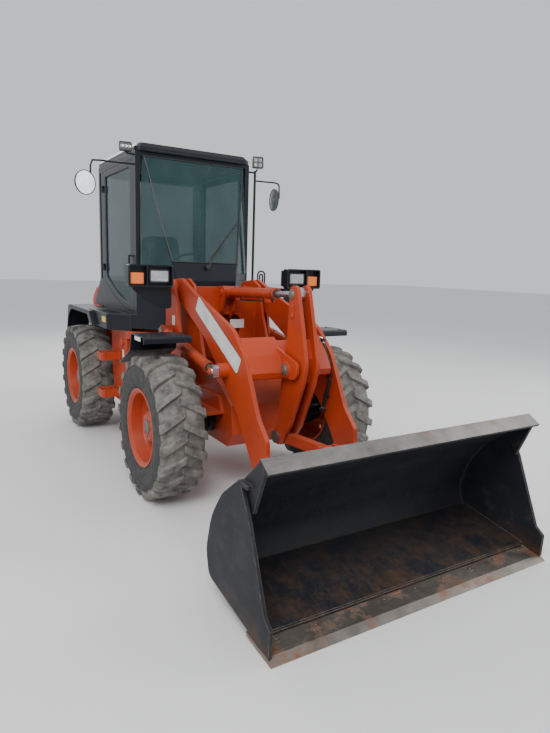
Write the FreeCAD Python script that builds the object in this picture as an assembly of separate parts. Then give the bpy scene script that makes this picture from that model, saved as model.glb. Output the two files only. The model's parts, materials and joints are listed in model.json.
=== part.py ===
import FreeCAD, Part
import math
import os

# Millimetres, +Z up, -Y to the front, +X to the machine's left.
# Every shape is drawn with x = 0 in the machine's middle plane, y = 0 at the steering pivot and
# z = 0 on the ground, and is moved on export, so that the origin is under the middle of its outline.
V = FreeCAD.Vector

WHEELBASE = 2600.0
TRACK = 1740.0
TYRE_R = 634.0
TYRE_WIDTH = 396.0
LUG_DEPTH = 34.0
LUGS_PER_SIDE = 20
RIM_SEAT_R = 318.0
RIM_FLANGE_R = 344.0
RIM_HALF = 182.0
HUB_R = 150.0
SPINDLE_R = 70.0
RUN_GAP = 0.3
HAND_HOLES = 6
WHEEL_NUTS = 10

BUCKET_HALF = 1160.0
BUCKET_TIP_Y = -3742.0
REAR_Y = 2300.0
BUCKET_SHEET = 16.0
CENTRE_Y = (BUCKET_TIP_Y + REAR_Y) / 2
# How far the right mirror stands out, and the middle between it and the bucket's left side.
MIRROR_REACH = 1277.25
CENTRE_X = (BUCKET_HALF - MIRROR_REACH) / 2

# Linkage pins, each (y, z).
BOOM_PIN = (-560.0, 1800.0)
BUCKET_PIN = (-2640.0, 410.0)
CRANK_PIN = (-2148.0, 1228.0)
CRANK_TOP = (-2135.0, 1832.0)
CRANK_FOOT = (-1965.0, 610.0)
LINK_END = (-2605.0, 650.0)
TILT_BASE = (-886.0, 1784.0)
LIFT_BASE = (-620.0, 1390.0)
LIFT_EYE = (-1746.0, 1177.0)

ARM_IN = 406.0
ARM_OUT = 442.0
TOWER_IN = (345.0, 370.0)
TOWER_OUT = (480.0, 505.0)
TOWER_BACK = -490.0
TOWER_WALL = -610.0
LIFT_X = 562.0
STEER_BASE = (190.0, 130.0, 760.0)
STEER_EYE = (215.0, -420.0, 760.0)
STEER_PIN_R = 20.0
TOW_PIN_R = 16.0
TOW_PIN_Y = 2258.0
BOOM_PIN_R = 45.0
HINGE_PIN_R = 38.0
LINK_PIN_R = 26.0
RAM_PIN_R = 32.0
CRANK_HUB_R = 95.0
LINK_HUB_R = 58.0
LIFT_BARREL_R = 46.0
LIFT_ROD_R = 27.0
TILT_BARREL_R = 47.0
TILT_ROD_R = 22.0

CAB_HALF = 660.0
CAB_FRONT = -35.0
CAB_BACK = 1400.0
NOSE_Y = -377.0
NOSE_HALF = 337.0
GLASS_LOW = 1880.0
CAB_FLOOR = 1350.0
CAB_TOP = 3170.0
ROOF_TOP = 3255.0
GLASS = 6.0
SKIN = 30.0
BAND_TOP = 1497.0
SCREEN_LOW = 2066.0
CORNER_LOW = 1960.0
DOOR_HINGE = (673.0, 1186.0)
DOOR_KNUCKLES = (1940.0, 2860.0)
HINGE_R = 11.0
HOOD_HINGE = (1446.0, 1864.0)
HOOD_HALF = 560.0
HOOD_TOP = 1850.0
HOOD_BACK = 2225.0
EXHAUST_AT = (-250.0, 1640.0)
EXHAUST_R = 42.0
DECK_LOW = 1320.0
DECK_TOP = 1489.0
DECK_OUT = 900.0
TANK_OUT = 740.0
LAMP_IN = 618.0
POLE = (745.0, -20.0)
MIRROR_Y = -22.0


def box(x, y, z):
    corner = V(min(x), min(y), min(z))
    return Part.makeBox(abs(x[1] - x[0]), abs(y[1] - y[0]), abs(z[1] - z[0]), corner)


def rounded(points, place):
    # A closed wire through (u, v) or (u, v, radius) corners.
    wire = []
    count = len(points)
    ends = []
    for i in range(count):
        here = points[i]
        u, v = here[0], here[1]
        r = here[2] if len(here) > 2 else 0.0
        if r == 0.0:
            ends.append(((u, v), None, (u, v)))
            continue
        before = points[i - 1]
        after = points[(i + 1) % count]
        a = V(before[0] - u, before[1] - v, 0).normalize()
        b = V(after[0] - u, after[1] - v, 0).normalize()
        half = a.getAngle(b) / 2
        reach = r / math.tan(half)
        mid = (a + b).normalize() * (r / math.sin(half) - r)
        ends.append(((u + a.x * reach, v + a.y * reach), (u + mid.x, v + mid.y),
                     (u + b.x * reach, v + b.y * reach)))
    for i in range(count):
        first, mid, last = ends[i]
        if mid is not None:
            wire.append(Part.Arc(place(*first), place(*mid), place(*last)).toShape())
        start = place(*last)
        stop = place(*ends[(i + 1) % count][0])
        if start.distanceToPoint(stop) > 1e-6:
            wire.append(Part.makeLine(start, stop))
    return Part.Wire(wire)


def side_plate(points, x0, x1):
    face = Part.Face(rounded(points, lambda y, z: V(x0, y, z)))
    return face.extrude(V(x1 - x0, 0, 0))


def front_plate(points, y0, y1):
    face = Part.Face(rounded(points, lambda x, z: V(x, y0, z)))
    return face.extrude(V(0, y1 - y0, 0))


def flat_plate(points, z0, z1):
    face = Part.Face(rounded(points, lambda x, y: V(x, y, z0)))
    return face.extrude(V(0, 0, z1 - z0))


def bar(start, stop, radius):
    a, b = V(*start), V(*stop)
    return Part.makeCylinder(radius, (b - a).Length, a, b - a)


def cross_pin(pin, x0, x1, radius):
    return bar((x0, pin[0], pin[1]), (x1, pin[0], pin[1]), radius)


def between(near, far, distance):
    # The (y, z) point that lies distance from near on the way to far.
    length = math.dist(near, far)
    return tuple(a + (b - a) * distance / length for a, b in zip(near, far))


def fuse(*shapes):
    return shapes[0].multiFuse(list(shapes[1:])).removeSplitter()


def cut(shape, *tools):
    for tool in tools:
        shape = shape.cut(tool)
    return shape


def mirrored(shape):
    return shape.mirror(V(0, 0, 0), V(1, 0, 0))


def both(shape):
    return Part.makeCompound([shape, mirrored(shape)])


def quad(a, b, c, d):
    return Part.Face(Part.makePolygon([a, b, c, d, a]))


def solid_of(faces):
    solid = Part.makeSolid(Part.makeShell(faces))
    if solid.Volume < 0:
        solid.reverse()
    return solid


def pane(corners, thickness):
    # A flat pane through corners, thickened to the back of its face.
    corners = [V(*c) for c in corners]
    normal = (corners[1] - corners[0]).cross(corners[2] - corners[0]).normalize()
    face = Part.Face(Part.makePolygon(corners + [corners[0]]))
    return face.extrude(normal * thickness)


# Wheels

def on_ring(x, radius, angle):
    return V(x, radius * math.sin(angle), radius * math.cos(angle))


def tyre():
    # Half section from bead to crown, each (x, radius); lugs stand on the crown.
    half = ((166.0, RIM_SEAT_R + 3), (166.0, RIM_FLANGE_R + 6), (TYRE_WIDTH / 2, 462.0),
            (TYRE_WIDTH / 2 - 8, 548.0), (110.0, TYRE_R - LUG_DEPTH - 2))
    ring = list(half) + [(-x, r) for x, r in reversed(half)]
    step = 2 * math.pi / LUGS_PER_SIDE
    grow = 1 / math.cos(step / 2)
    faces = []
    for i in range(LUGS_PER_SIDE):
        a, b = i * step, (i + 1) * step
        for j in range(len(ring)):
            (x0, r0), (x1, r1) = ring[j], ring[(j + 1) % len(ring)]
            faces.append(quad(on_ring(x0, r0 * grow, a), on_ring(x1, r1 * grow, a),
                              on_ring(x1, r1 * grow, b), on_ring(x0, r0 * grow, b)))
    lugs = []
    for i in range(LUGS_PER_SIDE):
        lugs += [tyre_lug(1, i * step), tyre_lug(-1, (i + 0.5) * step)]
    return solid_of(faces).multiFuse(lugs)


def tyre_lug(side, turn):
    # Slanted bar from just past the middle to the shoulder; t runs round the tyre, z outwards.
    inner_x, outer_x = -14.0, TYRE_WIDTH / 2 - 3
    # Corners of its side face, as (x, z), the top pair first.
    corners = ((inner_x, TYRE_R - 6), (outer_x, TYRE_R - 18), (outer_x - 8, 540.0),
               (inner_x, TYRE_R - LUG_DEPTH - 12))
    rings = []
    for first, second in (corners[:2], corners[:1:-1]):
        ring = []
        for (x, z), order in ((first, (-1, 1)), (second, (1, -1))):
            share = (x - inner_x) / (outer_x - inner_x)
            for k in order:
                t = 56 - 110 * share + k * (31 + 5 * share)
                ring.append(V(side * x, t * math.cos(turn) + z * math.sin(turn),
                              z * math.cos(turn) - t * math.sin(turn)))
        rings.append(ring)
    high, low = rings
    faces = [quad(*low), quad(*high)]
    for i in range(4):
        j = (i + 1) % 4
        faces.append(quad(low[i], low[j], high[j], high[i]))
    return solid_of(faces)


def wheel_rim():
    # Section of the dished rim, disc and hub, each (x outboard, radius), revolved about the axle.
    seat, flange, hub = RIM_SEAT_R, RIM_FLANGE_R, SPINDLE_R + RUN_GAP
    section = ((RIM_HALF, flange), (RIM_HALF, flange - 14), (RIM_HALF - 22, seat - 14), (60, seat - 24),
               (38, seat - 34), (30, 250), (36, 190), (42, HUB_R), (96, HUB_R - 16), (112, 112),
               (112, 0), (22, 0), (12, hub), (-68, hub), (-68, HUB_R - 10), (18, HUB_R - 4), (18, 262),
               (0, seat - 26), (-RIM_HALF + 22, seat - 14), (-RIM_HALF, flange - 14),
               (-RIM_HALF, flange), (-RIM_HALF + 12, flange), (-RIM_HALF + 12, seat + 2),
               (-RIM_HALF + 40, seat), (RIM_HALF - 40, seat), (RIM_HALF - 12, seat + 2),
               (RIM_HALF - 12, flange), (RIM_HALF, flange))
    solid = Part.Face(Part.makePolygon([V(x, 0, r) for x, r in section])).revolve(V(), V(1, 0, 0), 360)
    # Ring of hand holes through the disc, and the wheel studs' nuts on the hub.
    for i in range(HAND_HOLES):
        hole = Part.makeCylinder(22, 90, V(-20, 0, 222), V(1, 0, 0))
        hole.rotate(V(), V(1, 0, 0), i * 360.0 / HAND_HOLES)
        solid = solid.cut(hole)
    nuts = []
    for i in range(WHEEL_NUTS):
        nut = Part.makeCylinder(13, 44, V(20, 0, 168), V(1, 0, 0))
        nut.rotate(V(), V(1, 0, 0), (i + 0.5) * 360.0 / WHEEL_NUTS)
        nuts.append(nut)
    return solid.multiFuse(nuts)


def place_wheels(nodes):
    rubber, steel = tyre(), wheel_rim()
    # Name, and the axle's y.
    for name, y in (("front", -WHEELBASE / 2), ("rear", WHEELBASE / 2)):
        for side, sign in (("left", 1), ("right", -1)):
            tyre_here, rim_here = rubber.copy(), steel.copy()
            if sign < 0:
                tyre_here, rim_here = mirrored(tyre_here), mirrored(rim_here)
            move = V(sign * TRACK / 2, y, TYRE_R)
            tyre_here.translate(move)
            rim_here.translate(move)
            nodes["tyre_%s_%s" % (name, side)] = tyre_here
            nodes["rim_%s_%s" % (name, side)] = rim_here


def axle(y):
    # Differential, tubes, brake housings and spindles, by revolved half section (x, radius).
    end = TRACK / 2 + 10
    section = ((0, 215), (70, 205), (120, 150), (190, 112), (430, 100), (470, 150),
               (640, 165), (700, 150), (TRACK / 2 - 72, 128), (TRACK / 2 - 72, SPINDLE_R),
               (end, SPINDLE_R), (end, 0), (0, 0))
    wire = Part.makePolygon([V(x, y, TYRE_R + r) for x, r in section + (section[0],)])
    half = Part.Face(wire).revolve(V(0, y, TYRE_R), V(1, 0, 0), 360)
    nose = bar((0, y, TYRE_R), (0, y * (1 - 330 / abs(y)), TYRE_R), 92)
    return fuse(half, mirrored(half), nose)


# Front frame

def front_frame():
    outer = ((-647, 1899, 30), (-702, 1843), (-793, 1672, 200), (-859, 1409), (-905, 1060),
             (-1010, 900), (TOWER_BACK, 900), (TOWER_BACK, 1870, 30))
    inner = ((-744, 1909, 20), (-880, 1848, 60), (-960, 1560, 200), (-1120, 1180),
             (-1400, 1040), (-1700, 850), (-1740, 600), (-1640, 470), (-505, 470), (-505, 900),
             (TOWER_BACK, 900), (TOWER_BACK, 1870, 30))
    wall = side_plate(inner, *TOWER_IN)
    cheek = side_plate(outer, *TOWER_OUT)
    shelf = box((TOWER_IN[0], TOWER_OUT[1]), (-1010, TOWER_BACK), (900, 930))
    foot = box((TOWER_IN[1], TOWER_OUT[1] + 40), (-1560, -1020), (745, 770))
    rib = side_plate(((-1560, 770), (-1500, 900), (-1040, 900), (-1020, 770)),
                     TOWER_IN[1], TOWER_IN[1] + 25)
    pin = cross_pin(BOOM_PIN, TOWER_IN[0] - 10, TOWER_OUT[1] + 14, BOOM_PIN_R)
    ram_pin = cross_pin(LIFT_BASE, TOWER_OUT[0], LIFT_X + 44, RAM_PIN_R)
    step_end = cross_pin(LIFT_BASE, TOWER_OUT[1], LIFT_X - 40, 56)
    side = fuse(wall, cheek, shelf, foot, rib, pin, ram_pin, step_end)
    wide = TOWER_IN[0]
    back = box((-wide, wide), (TOWER_WALL - 30, TOWER_WALL), (900, 1700))
    face = front_plate(((-wide, 1120), (wide, 1120), (wide, 1836), (-wide, 1836)), -812, -786)
    window = front_plate(((-150, 1240, 60), (150, 1240, 60), (190, 1560, 80), (-190, 1560, 80)),
                         -830, -770)
    face = cut(face, window)
    deck = box((-wide, wide), (-812, TOWER_WALL), (1700, 1725))
    floor = box((-wide, wide), (-1640, -420), (470, 500))
    nose = side_plate(((-1740, 600), (-1700, 850), (-1400, 1040), (-1390, 1015), (-1682, 832),
                       (-1715, 600), (-1640, 500), (-1640, 470)), -wide, wide)
    bridge = box((-wide, wide), (-1400, -1360), (500, 1015))
    ear = side_plate(((TILT_BASE[0] - 62, TILT_BASE[1], 40), (-870, 1600), (-800, 1520),
                      (-800, 1836), (TILT_BASE[0] + 10, 1846, 30), (TILT_BASE[0] - 62, 1846, 40)),
                     52, 82)
    tilt_pin = cross_pin(TILT_BASE, -92, 92, RAM_PIN_R)
    # The fork plates that hold the steering pins, as (low z, high z).
    forks = []
    for low, high in ((425, 458), (517, 550), (950, 983), (1042, 1075)):
        forks.append(flat_plate(((-230, -540), (230, -540), (110, 85, 100), (-110, 85, 100)),
                                low, high))
    post = box((-wide, wide), (-535, -505), (425, 1100))
    ledge = box((-wide, wide), (TOWER_WALL - 30, -505), (1075, 1105))
    # Lugs above and below each steering rod's eye, as (low z, high z).
    x, y = STEER_EYE[0], STEER_EYE[1]
    for low, high in ((704, 722), (798, 816)):
        lug = flat_plate(((x - 45, -535), (x - 45, y + 34, 40), (x + 45, y + 34, 40), (x + 45, -535)),
                         low, high)
        forks += [lug, mirrored(lug)]
    kingpins = [Part.makeCylinder(42, 145, V(0, 0, 415)), Part.makeCylinder(42, 145, V(0, 0, 940))]
    # Gussets between the tower's back wall and its side plates, as low z.
    gussets = []
    for low in (1180, 1420):
        gusset = side_plate(((TOWER_WALL, low), (-508, low), (-508, low + 30), (TOWER_WALL, low + 140)),
                            TOWER_IN[0] - 60, TOWER_IN[0] - 44)
        gussets += [gusset, mirrored(gusset)]
    tie = box((-wide, wide), (-548, -528), (1100, 1640))
    tie = cut(tie, front_plate(((-190, 1190, 60), (190, 1190, 60), (190, 1560, 60), (-190, 1560, 60)),
                               -560, -510))
    return fuse(side, mirrored(side), back, face, deck, floor, nose, bridge, ear, mirrored(ear),
                tilt_pin, post, ledge, tie, *forks, *kingpins, *gussets)


def front_fenders():
    top, skin = 1440, 8
    x0, x1 = 632, 1060
    front, crest, fold, tail = -1453, -1119, -1075, -760
    profile = ((front, top - 58), (front, top, 25), (crest, top, 25), (fold, 1290), (tail, 1130),
               (tail - 3, 1130 - skin), (fold - skin, 1290 - skin), (crest - skin, top - skin),
               (front + skin, top - skin), (front + skin, top - 58))
    sheet = side_plate(profile, x0, x1)
    arm = box((TOWER_OUT[1], x0 + 60), (-790, -770), (1060, 1128))
    flange = box((x0, x0 + 60), (-800, -770), (1060, 1140))
    return both(fuse(sheet, arm, flange))


def lamp_brackets():
    x0, x1 = LAMP_IN, 1035
    guard = front_plate(((x0, 1830, 20), (x1, 1830, 20), (x1, 2030, 20), (x0, 2030, 20)), -985, -905)
    hollow = front_plate(((x0 + 14, 1844, 12), (x1 - 14, 1844, 12), (x1 - 14, 2016, 12),
                          (x0 + 14, 2016, 12)), -1000, -925)
    shell = cut(guard, hollow)
    wing = box((x0, x0 + 14), (-910, -862), (1850, 2010))
    divider = box((856, 866), (-985, -920), (1840, 2020))
    plate = front_plate(((x0, 1835), (990, 1835), (985, 1814, 10), (905, 1732, 120), (730, 1640, 200),
                         (x0, 1632, 30)), -935, -920)
    arm = box((632, 650), (-935, -508), (1735, 1826))
    stay = box((TOWER_OUT[1], 650), (-530, -508), (1735, 1819))
    notch = cross_pin(BOOM_PIN, TOWER_OUT[1] - 5, TOWER_OUT[1] + 14.5, BOOM_PIN_R + RUN_GAP)
    return both(cut(fuse(shell, wing, divider, plate, arm, stay), notch))


def head_lamps():
    body = front_plate(((652, 1872, 14), (838, 1872, 14), (838, 1988, 14), (652, 1988, 14)),
                       -972, -926)
    reflector = front_plate(((664, 1884, 8), (826, 1884, 8), (826, 1976, 8), (664, 1976, 8)), -990, -966)
    return both(cut(body, reflector))


def turn_lamps():
    body = front_plate(((888, 1857, 8), (1008, 1857, 8), (1008, 1957, 8), (888, 1957, 8)),
                       -960, -926)
    return both(body)


# Working arm

def lift_arms():
    b, a, c = BUCKET_PIN, BOOM_PIN, CRANK_PIN
    profile = ((a[0] + 80, a[1] + 90, 78), (-739, 1909, 60), (-1064, 1778, 400),
               (-1826, 1534, 300), (-2052, 1325, 300), (-2277, 887, 200), (-2424, 738, 50),
               (-2436, 560, 120), (b[0] - 60, b[1] + 90, 70), (b[0] - 88, b[1] - 75, 70),
               (b[0] + 60, b[1] - 88, 80), (-2330, 345, 200), (-2159, 560, 200),
               (-1955, 832, 300), (-1513, 1218, 300), (-1306, 1390, 300), (-705, 1690, 60),
               (a[0] + 80, a[1] - 85, 78))
    arm = side_plate(profile, ARM_IN, ARM_OUT)
    boss = cross_pin(LIFT_EYE, ARM_OUT - 5, LIFT_X - 32, 62)
    collars = [cross_pin(a, ARM_IN - 20, ARM_OUT + 20, 92), cross_pin(b, ARM_IN - 12, ARM_OUT + 12, 80)]
    side = fuse(arm, boss, *collars)
    beam = side_plate(((-1905, 1478, 20), (-2040, 1330, 20), (-2120, 1205), (-2108, 1140, 20),
                       (-1925, 1190, 20), (-1800, 1330, 40)), -ARM_IN - 2, ARM_IN + 2)
    fork = side_plate(((-1824, 1441, 40), (-2121, 1351, 60), (-2311, 1300, 60), (-2311, 1160, 70),
                       (-1922, 1166, 40), (-1835, 1300, 40)), 88, 112)
    boss_c = cross_pin(c, 86, 122, 66)
    # The beam is open between the fork plates, where the crank swings.
    throat = side_plate(((-2400, 1000), (-1930, 1000), (-1985, 1190), (-1985, 1240), (-1945, 1320),
                         (-1895, 1400), (-1845, 1460), (-1790, 1530), (-2400, 1600)), -86, 86)
    # Its front stops short of the left arm, where the hoses pass.
    gap = box((ARM_IN - 38, ARM_IN + 3), (-2200, -1890), (1000, 1500))
    shape = fuse(side, mirrored(side), cut(beam, throat, gap), fork, mirrored(fork), boss_c, mirrored(boss_c))
    return cut(shape, cross_pin(a, -700, 700, BOOM_PIN_R + RUN_GAP),
               cross_pin(b, -700, 700, HINGE_PIN_R + RUN_GAP), cross_pin(c, -200, 200, HINGE_PIN_R + RUN_GAP))


def crank_pin():
    # The pin with the wide hub that the crank's cheeks turn on.
    return fuse(cross_pin(CRANK_PIN, -126, 126, HINGE_PIN_R), cross_pin(CRANK_PIN, -82, 82, CRANK_HUB_R))


def bell_crank():
    outline = ((-2108, 1905, 50), (-2206, 1900, 55), (-2299, 1565, 300), (-2368, 1286, 200),
               (-2330, 1121, 200), (-2172, 759, 300), (-2018, 545, 60), (-1905, 560, 60),
               (-1925, 640, 60), (-1995, 830, 200), (-2018, 1108, 200), (-2083, 1471, 300))
    cheek = side_plate(outline, 38, 68)
    web = side_plate(((-2250, 1480, 20), (-2300, 1330, 20), (-2270, 1120, 20), (-2230, 1120, 20),
                      (-2255, 1330), (-2205, 1480, 20)), -38, 38)
    shape = fuse(cheek, mirrored(cheek), web)
    return cut(shape, cross_pin(CRANK_PIN, -200, 200, CRANK_HUB_R + RUN_GAP),
               cross_pin(CRANK_FOOT, -200, 200, LINK_PIN_R + RUN_GAP))


def tilt_link():
    f, d = CRANK_FOOT, LINK_END
    shank = side_plate(((f[0], f[1] - 44), (f[0], f[1] + 46), (d[0], d[1] + 44), (d[0], d[1] - 40)),
                       -32, 32)
    body = fuse(shank, cross_pin(f, -32, 32, LINK_HUB_R + 16), cross_pin(d, -32, 32, 52),
                cross_pin(d, -50, 50, 28))
    return cut(body, cross_pin(f, -90, 90, LINK_HUB_R + RUN_GAP))


def link_pin():
    # The pin with the hub inside the link's eye and a round head outside each cheek of the crank.
    f = CRANK_FOOT
    head = cross_pin(f, 69, 84, 54)
    return fuse(cross_pin(f, -84, 84, LINK_PIN_R), cross_pin(f, -34, 34, LINK_HUB_R), head, mirrored(head))


def tilt_ram():
    base, eye = TILT_BASE, CRANK_TOP

    def along(distance):
        return (0.0,) + between(base, eye, distance)

    barrel = bar(along(95), along(880), TILT_BARREL_R)
    gland = bar(along(865), along(905), TILT_BARREL_R + 3)
    neck = bar(along(0), along(95), 38)
    port = bar(along(190), tuple(a + b for a, b in zip(along(190), (0, 0, -TILT_BARREL_R - 22))), 16)
    barrel = fuse(barrel, gland, neck, port, cross_pin(base, -45, 45, 62))
    shell = cut(barrel, cross_pin(base, -80, 80, RAM_PIN_R + RUN_GAP),
                bar(along(130), along(920), TILT_ROD_R + RUN_GAP))
    end = math.dist(base, eye)
    rod = fuse(bar(along(700), along(end), TILT_ROD_R), bar(along(end - 95), along(end), 28),
               cross_pin(eye, -34, 34, 54), cross_pin(eye, -37, 37, 28))
    return shell, rod


def lift_rams():
    base, eye = LIFT_BASE, LIFT_EYE
    reach = math.dist(base, eye)
    x = LIFT_X

    def along(distance):
        return (x,) + between(base, eye, distance)

    barrel = bar(along(70), along(1030), LIFT_BARREL_R)
    gland = bar(along(1000), along(1056), LIFT_BARREL_R + 4)
    knuckle = cross_pin(base, x - 36, x + 36, 58)
    shell = cut(fuse(barrel, gland, knuckle, bar(along(20), along(80), 40)),
                cross_pin(base, x - 80, x + 80, RAM_PIN_R + RUN_GAP),
                bar(along(110), along(1080), LIFT_ROD_R + RUN_GAP))
    y, z = eye
    block = side_plate(((y - 58, z - 50, 26), (y - 50, z + 56, 30), (y + 48, z + 50, 20),
                        (y + 44, z - 52, 26)), x - 26, x + 26)
    rod = fuse(bar(along(400), along(reach), LIFT_ROD_R), block, cross_pin(eye, x - 26, x + 36, 30))
    return both(shell), both(rod)


def hose(points, bend, radius):
    # A round hose through points in one plane, rounded at each corner with the same bend.
    ends = [V(*p) for p in points]
    first = ends[0]
    parts = []
    for before, here, after in zip(ends, ends[1:], ends[2:]):
        a = (before - here).normalize()
        b = (after - here).normalize()
        half = a.getAngle(b) / 2
        start = here + a * (bend / math.tan(half))
        centre = here + (a + b).normalize() * (bend / math.sin(half))
        parts.append(Part.makeCylinder(radius, first.distanceToPoint(start), first, start - first))
        ring = Part.Face(Part.Wire(Part.makeCircle(radius, start, a)))
        turn = 180 - 2 * math.degrees(half)
        parts.append(ring.revolve(centre, a.cross(b), -turn))
        first = here + b * (bend / math.tan(half))
    parts.append(Part.makeCylinder(radius, first.distanceToPoint(ends[-1]), first, ends[-1] - first))
    return parts


def boom_hoses():
    # Two hoses down the inner face of the left arm, in two clips, between end blocks.
    x, r = ARM_IN - 17, 9
    parts = []
    for back in (0, 26):
        route = ((x, -1950 + back, 1424), (x, -2080 + back, 1235),
                 (x, -2086 + back, 1075), (x, -2010 + back, 815))
        parts += hose(route, 110, r)
    # Clips and end blocks on the arm, as low y, high y, low z, high z.
    for y0, y1, z0, z1 in ((-1972, -1900, 1410, 1440), (-2100, -2040, 1130, 1146), (-2072, -2010, 940, 956),
                           (-2026, -1968, 790, 822)):
        parts.append(box((x - 12, ARM_IN), (y0, y1), (z0, z1)))
    return fuse(*parts)


def tower_hoses():
    # Nested hoses that arch over behind the tower, standing on the lamp's stay.
    parts = []
    # Middle x, half width and height of each arch.
    for x, half, top in ((576, 44, 1996), (576, 18, 1962)):
        ends = ((x - half, -519, 1819), (x - half, -519, top), (x + half, -519, top), (x + half, -519, 1819))
        parts += [fuse(*hose(ends, half - 1, 9))]
    return Part.makeCompound(parts)


# Coupler and bucket

def coupler():
    b, d = BUCKET_PIN, LINK_END
    plates = []
    # Side plates of the coupler, as (low x, high x).
    for low, high in ((362, 390), (458, 486)):
        plate = side_plate(((b[0] + 66, b[1] - 66, 60), (b[0] + 66, b[1] + 60, 60),
                            (-2740, 560, 80), (-2850, 750, 30), (-3000, 640), (-2925, 470),
                            (-2922, 262), (-2760, 262, 60)), low, high)
        plates.append(plate)
    tube = bar((84, -2872, 440), (486, -2872, 440), 46)
    plug = side_plate(((-2860, 300), (-2860, 700, 20), (-2925, 470), (-2922, 262)), 386, 460)
    ear = side_plate(((d[0] + 52, d[1] - 50, 48), (d[0] + 52, d[1] + 52, 48), (-2790, 720, 20),
                      (-2900, 600), (-2900, 400, 20), (-2830, 400, 40), (-2780, 560, 60)), 58, 84)
    hook = side_plate(((-2800, 740), (-2850, 750), (-2990, 640), (-2925, 470), (-2905, 480),
                       (-2960, 632)), 60, 486)
    side = fuse(plates[0], plates[1], tube, ear, hook, plug)
    brace = side_plate(((-2868, 478), (-2868, 560), (-2945, 590), (-2925, 470)), -60, 60)
    shape = fuse(side, mirrored(side), brace)
    return cut(shape, cross_pin(b, -700, 700, HINGE_PIN_R + RUN_GAP),
               cross_pin(d, -200, 200, 30 + RUN_GAP))


def bucket_pins():
    # Each pin has a round head on either side of the coupler's plates.
    b = BUCKET_PIN
    heads = [cross_pin(b, low, low + 16, 70) for low in (344, 488)]
    return both(fuse(cross_pin(b, 344, 504, HINGE_PIN_R), *heads))


def bucket_shell():
    t, half = BUCKET_SHEET, BUCKET_HALF
    # Outside of the sheet from the edge plate over the heel to the lip, with the way to its inside.
    outside = ((-3560, 44, 0), (-2985, 145, 60), (-2935, 300, 240), (-3000, 540, 500),
               (-3140, 730, 300), (-3348, 893, 400), (-3515, 1045, 0))
    inward = ((0.17, 0.98), (1.1, 1.1), (1.0, 0.1), (0.93, -0.35), (0.7, -0.72), (0.66, -0.76),
              (0.7, -0.72))
    inside = [(y - dy * t, z + dz * t, r) for (y, z, r), (dy, dz) in zip(outside, inward)]
    sheet = side_plate(list(outside) + inside[::-1], -1126, 1126)
    cheek = side_plate(((-3709, 30), (-3715, 188), (-3651, 237), (-3452, 726), (-3348, 893, 40),
                        (-3140, 736, 300), (-3000, 545, 500), (-2932, 300, 240), (-2975, 138, 70)),
                       half - 22, half)
    upper = side_plate(((-3348, 893), (-3452, 726), (-3560, 985), (-3515, 1045)), 1104, 1126)
    web = box((1104, half), (-3440, -3330), (862, 884))
    heel = side_plate(((-3560, 44), (-2985, 145), (-2990, 175), (-3560, 74)), -1142, 1142)
    lip = side_plate(((-3509, 1054), (-3500, 1040), (-3590, 980), (-3600, 994)), -1126, 1126)
    side = fuse(cheek, upper, web)
    wear = []
    # Wear strips under the heel, as low x.
    for x in (-1000, -600, -200, 160, 560, 960):
        strip = side_plate(((-3440, 65), (-3000, 142), (-2995, 128), (-3440, 50)), x, x + 60)
        wear.append(strip)
    return fuse(sheet, heel, lip, side, mirrored(side), *wear)


def bucket_edge():
    return side_plate(((BUCKET_TIP_Y, 4), (BUCKET_TIP_Y + 3, 0), (-3470, 27), (-3466, 49),
                       (-3690, 31)), -BUCKET_HALF, BUCKET_HALF)


# Rear frame

def rear_frame():
    plate = side_plate(((150, 470), (150, 1120, 60), (700, 1120, 100), (900, 1180), (2080, 1180),
                        (2080, 620), (1500, 560), (1200, 470)), 270, 300)
    # Lugs on the steering pins, as (low z, high z).
    lugs = []
    for low, high in ((463, 512), (988, 1037)):
        lug = flat_plate(((-105, -85, 80), (105, -85, 80), (270, 180), (-270, 180)), low, high)
        lugs.append(cut(lug, Part.makeCylinder(42 + RUN_GAP, 200, V(0, 0, low - 50))))
    front = box((-270, 270), (190, 220), (463, 1120))
    floor = box((-270, 270), (150, 1200), (463, 483))
    brow = box((-270, 270), (150, 190), (1000, 1037))
    # Lugs above and below each steering barrel's base, as (low z, high z).
    x, y = STEER_BASE[0], STEER_BASE[1]
    for low, high in ((700, 718), (802, 820)):
        lug = flat_plate(((x - 45, 190), (x - 45, y - 45, 40), (x + 45, y - 45, 40), (x + 45, 190)),
                         low, high)
        lugs += [lug, mirrored(lug)]
    pin = Part.makeCylinder(STEER_PIN_R, 116, V(*STEER_BASE) - V(0, 0, 58))
    cross = box((-270, 270), (2000, 2030), (620, 1180))
    beds = box((-270, 270), (1600, 1900), (830, 860))
    saddle = box((-270, 270), (1210, 1390), (850, 900))
    deck = box((-640, 640), (190, 1500), (1180, 1210))
    wing = side_plate(((190, 1180), (190, 980), (230, 980), (260, 1180)), 300, 640)
    return fuse(plate, mirrored(plate), *lugs, pin, mirrored(pin), front, floor, brow, cross, beds,
                saddle, deck, wing, mirrored(wing))


def side_tanks():
    x0, x1, top = 320, TANK_OUT, DECK_LOW - 2
    body = side_plate(((64, top), (64, 560, 60), (110, 500, 40), (560, 500, 60), (640, 900, 300),
                       (640, top)), x0, x1)
    filler = bar((x1 - 4, 200, 1180), (x1 + 22, 200, 1180), 45)
    # The apron under the nose of the cab joins both tanks.
    plan = ((-x1, 64), (-x1, 20), (-343, -362), (343, -362), (x1, 20), (x1, 64))
    inner = [(x * 0.975, y + 12 if y < 64 else y) for x, y in plan]
    apron = cut(flat_plate(plan, 1236, top), flat_plate(inner, 1200, top + 30))
    side = fuse(body, filler)
    return fuse(side, mirrored(side), apron)


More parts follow.
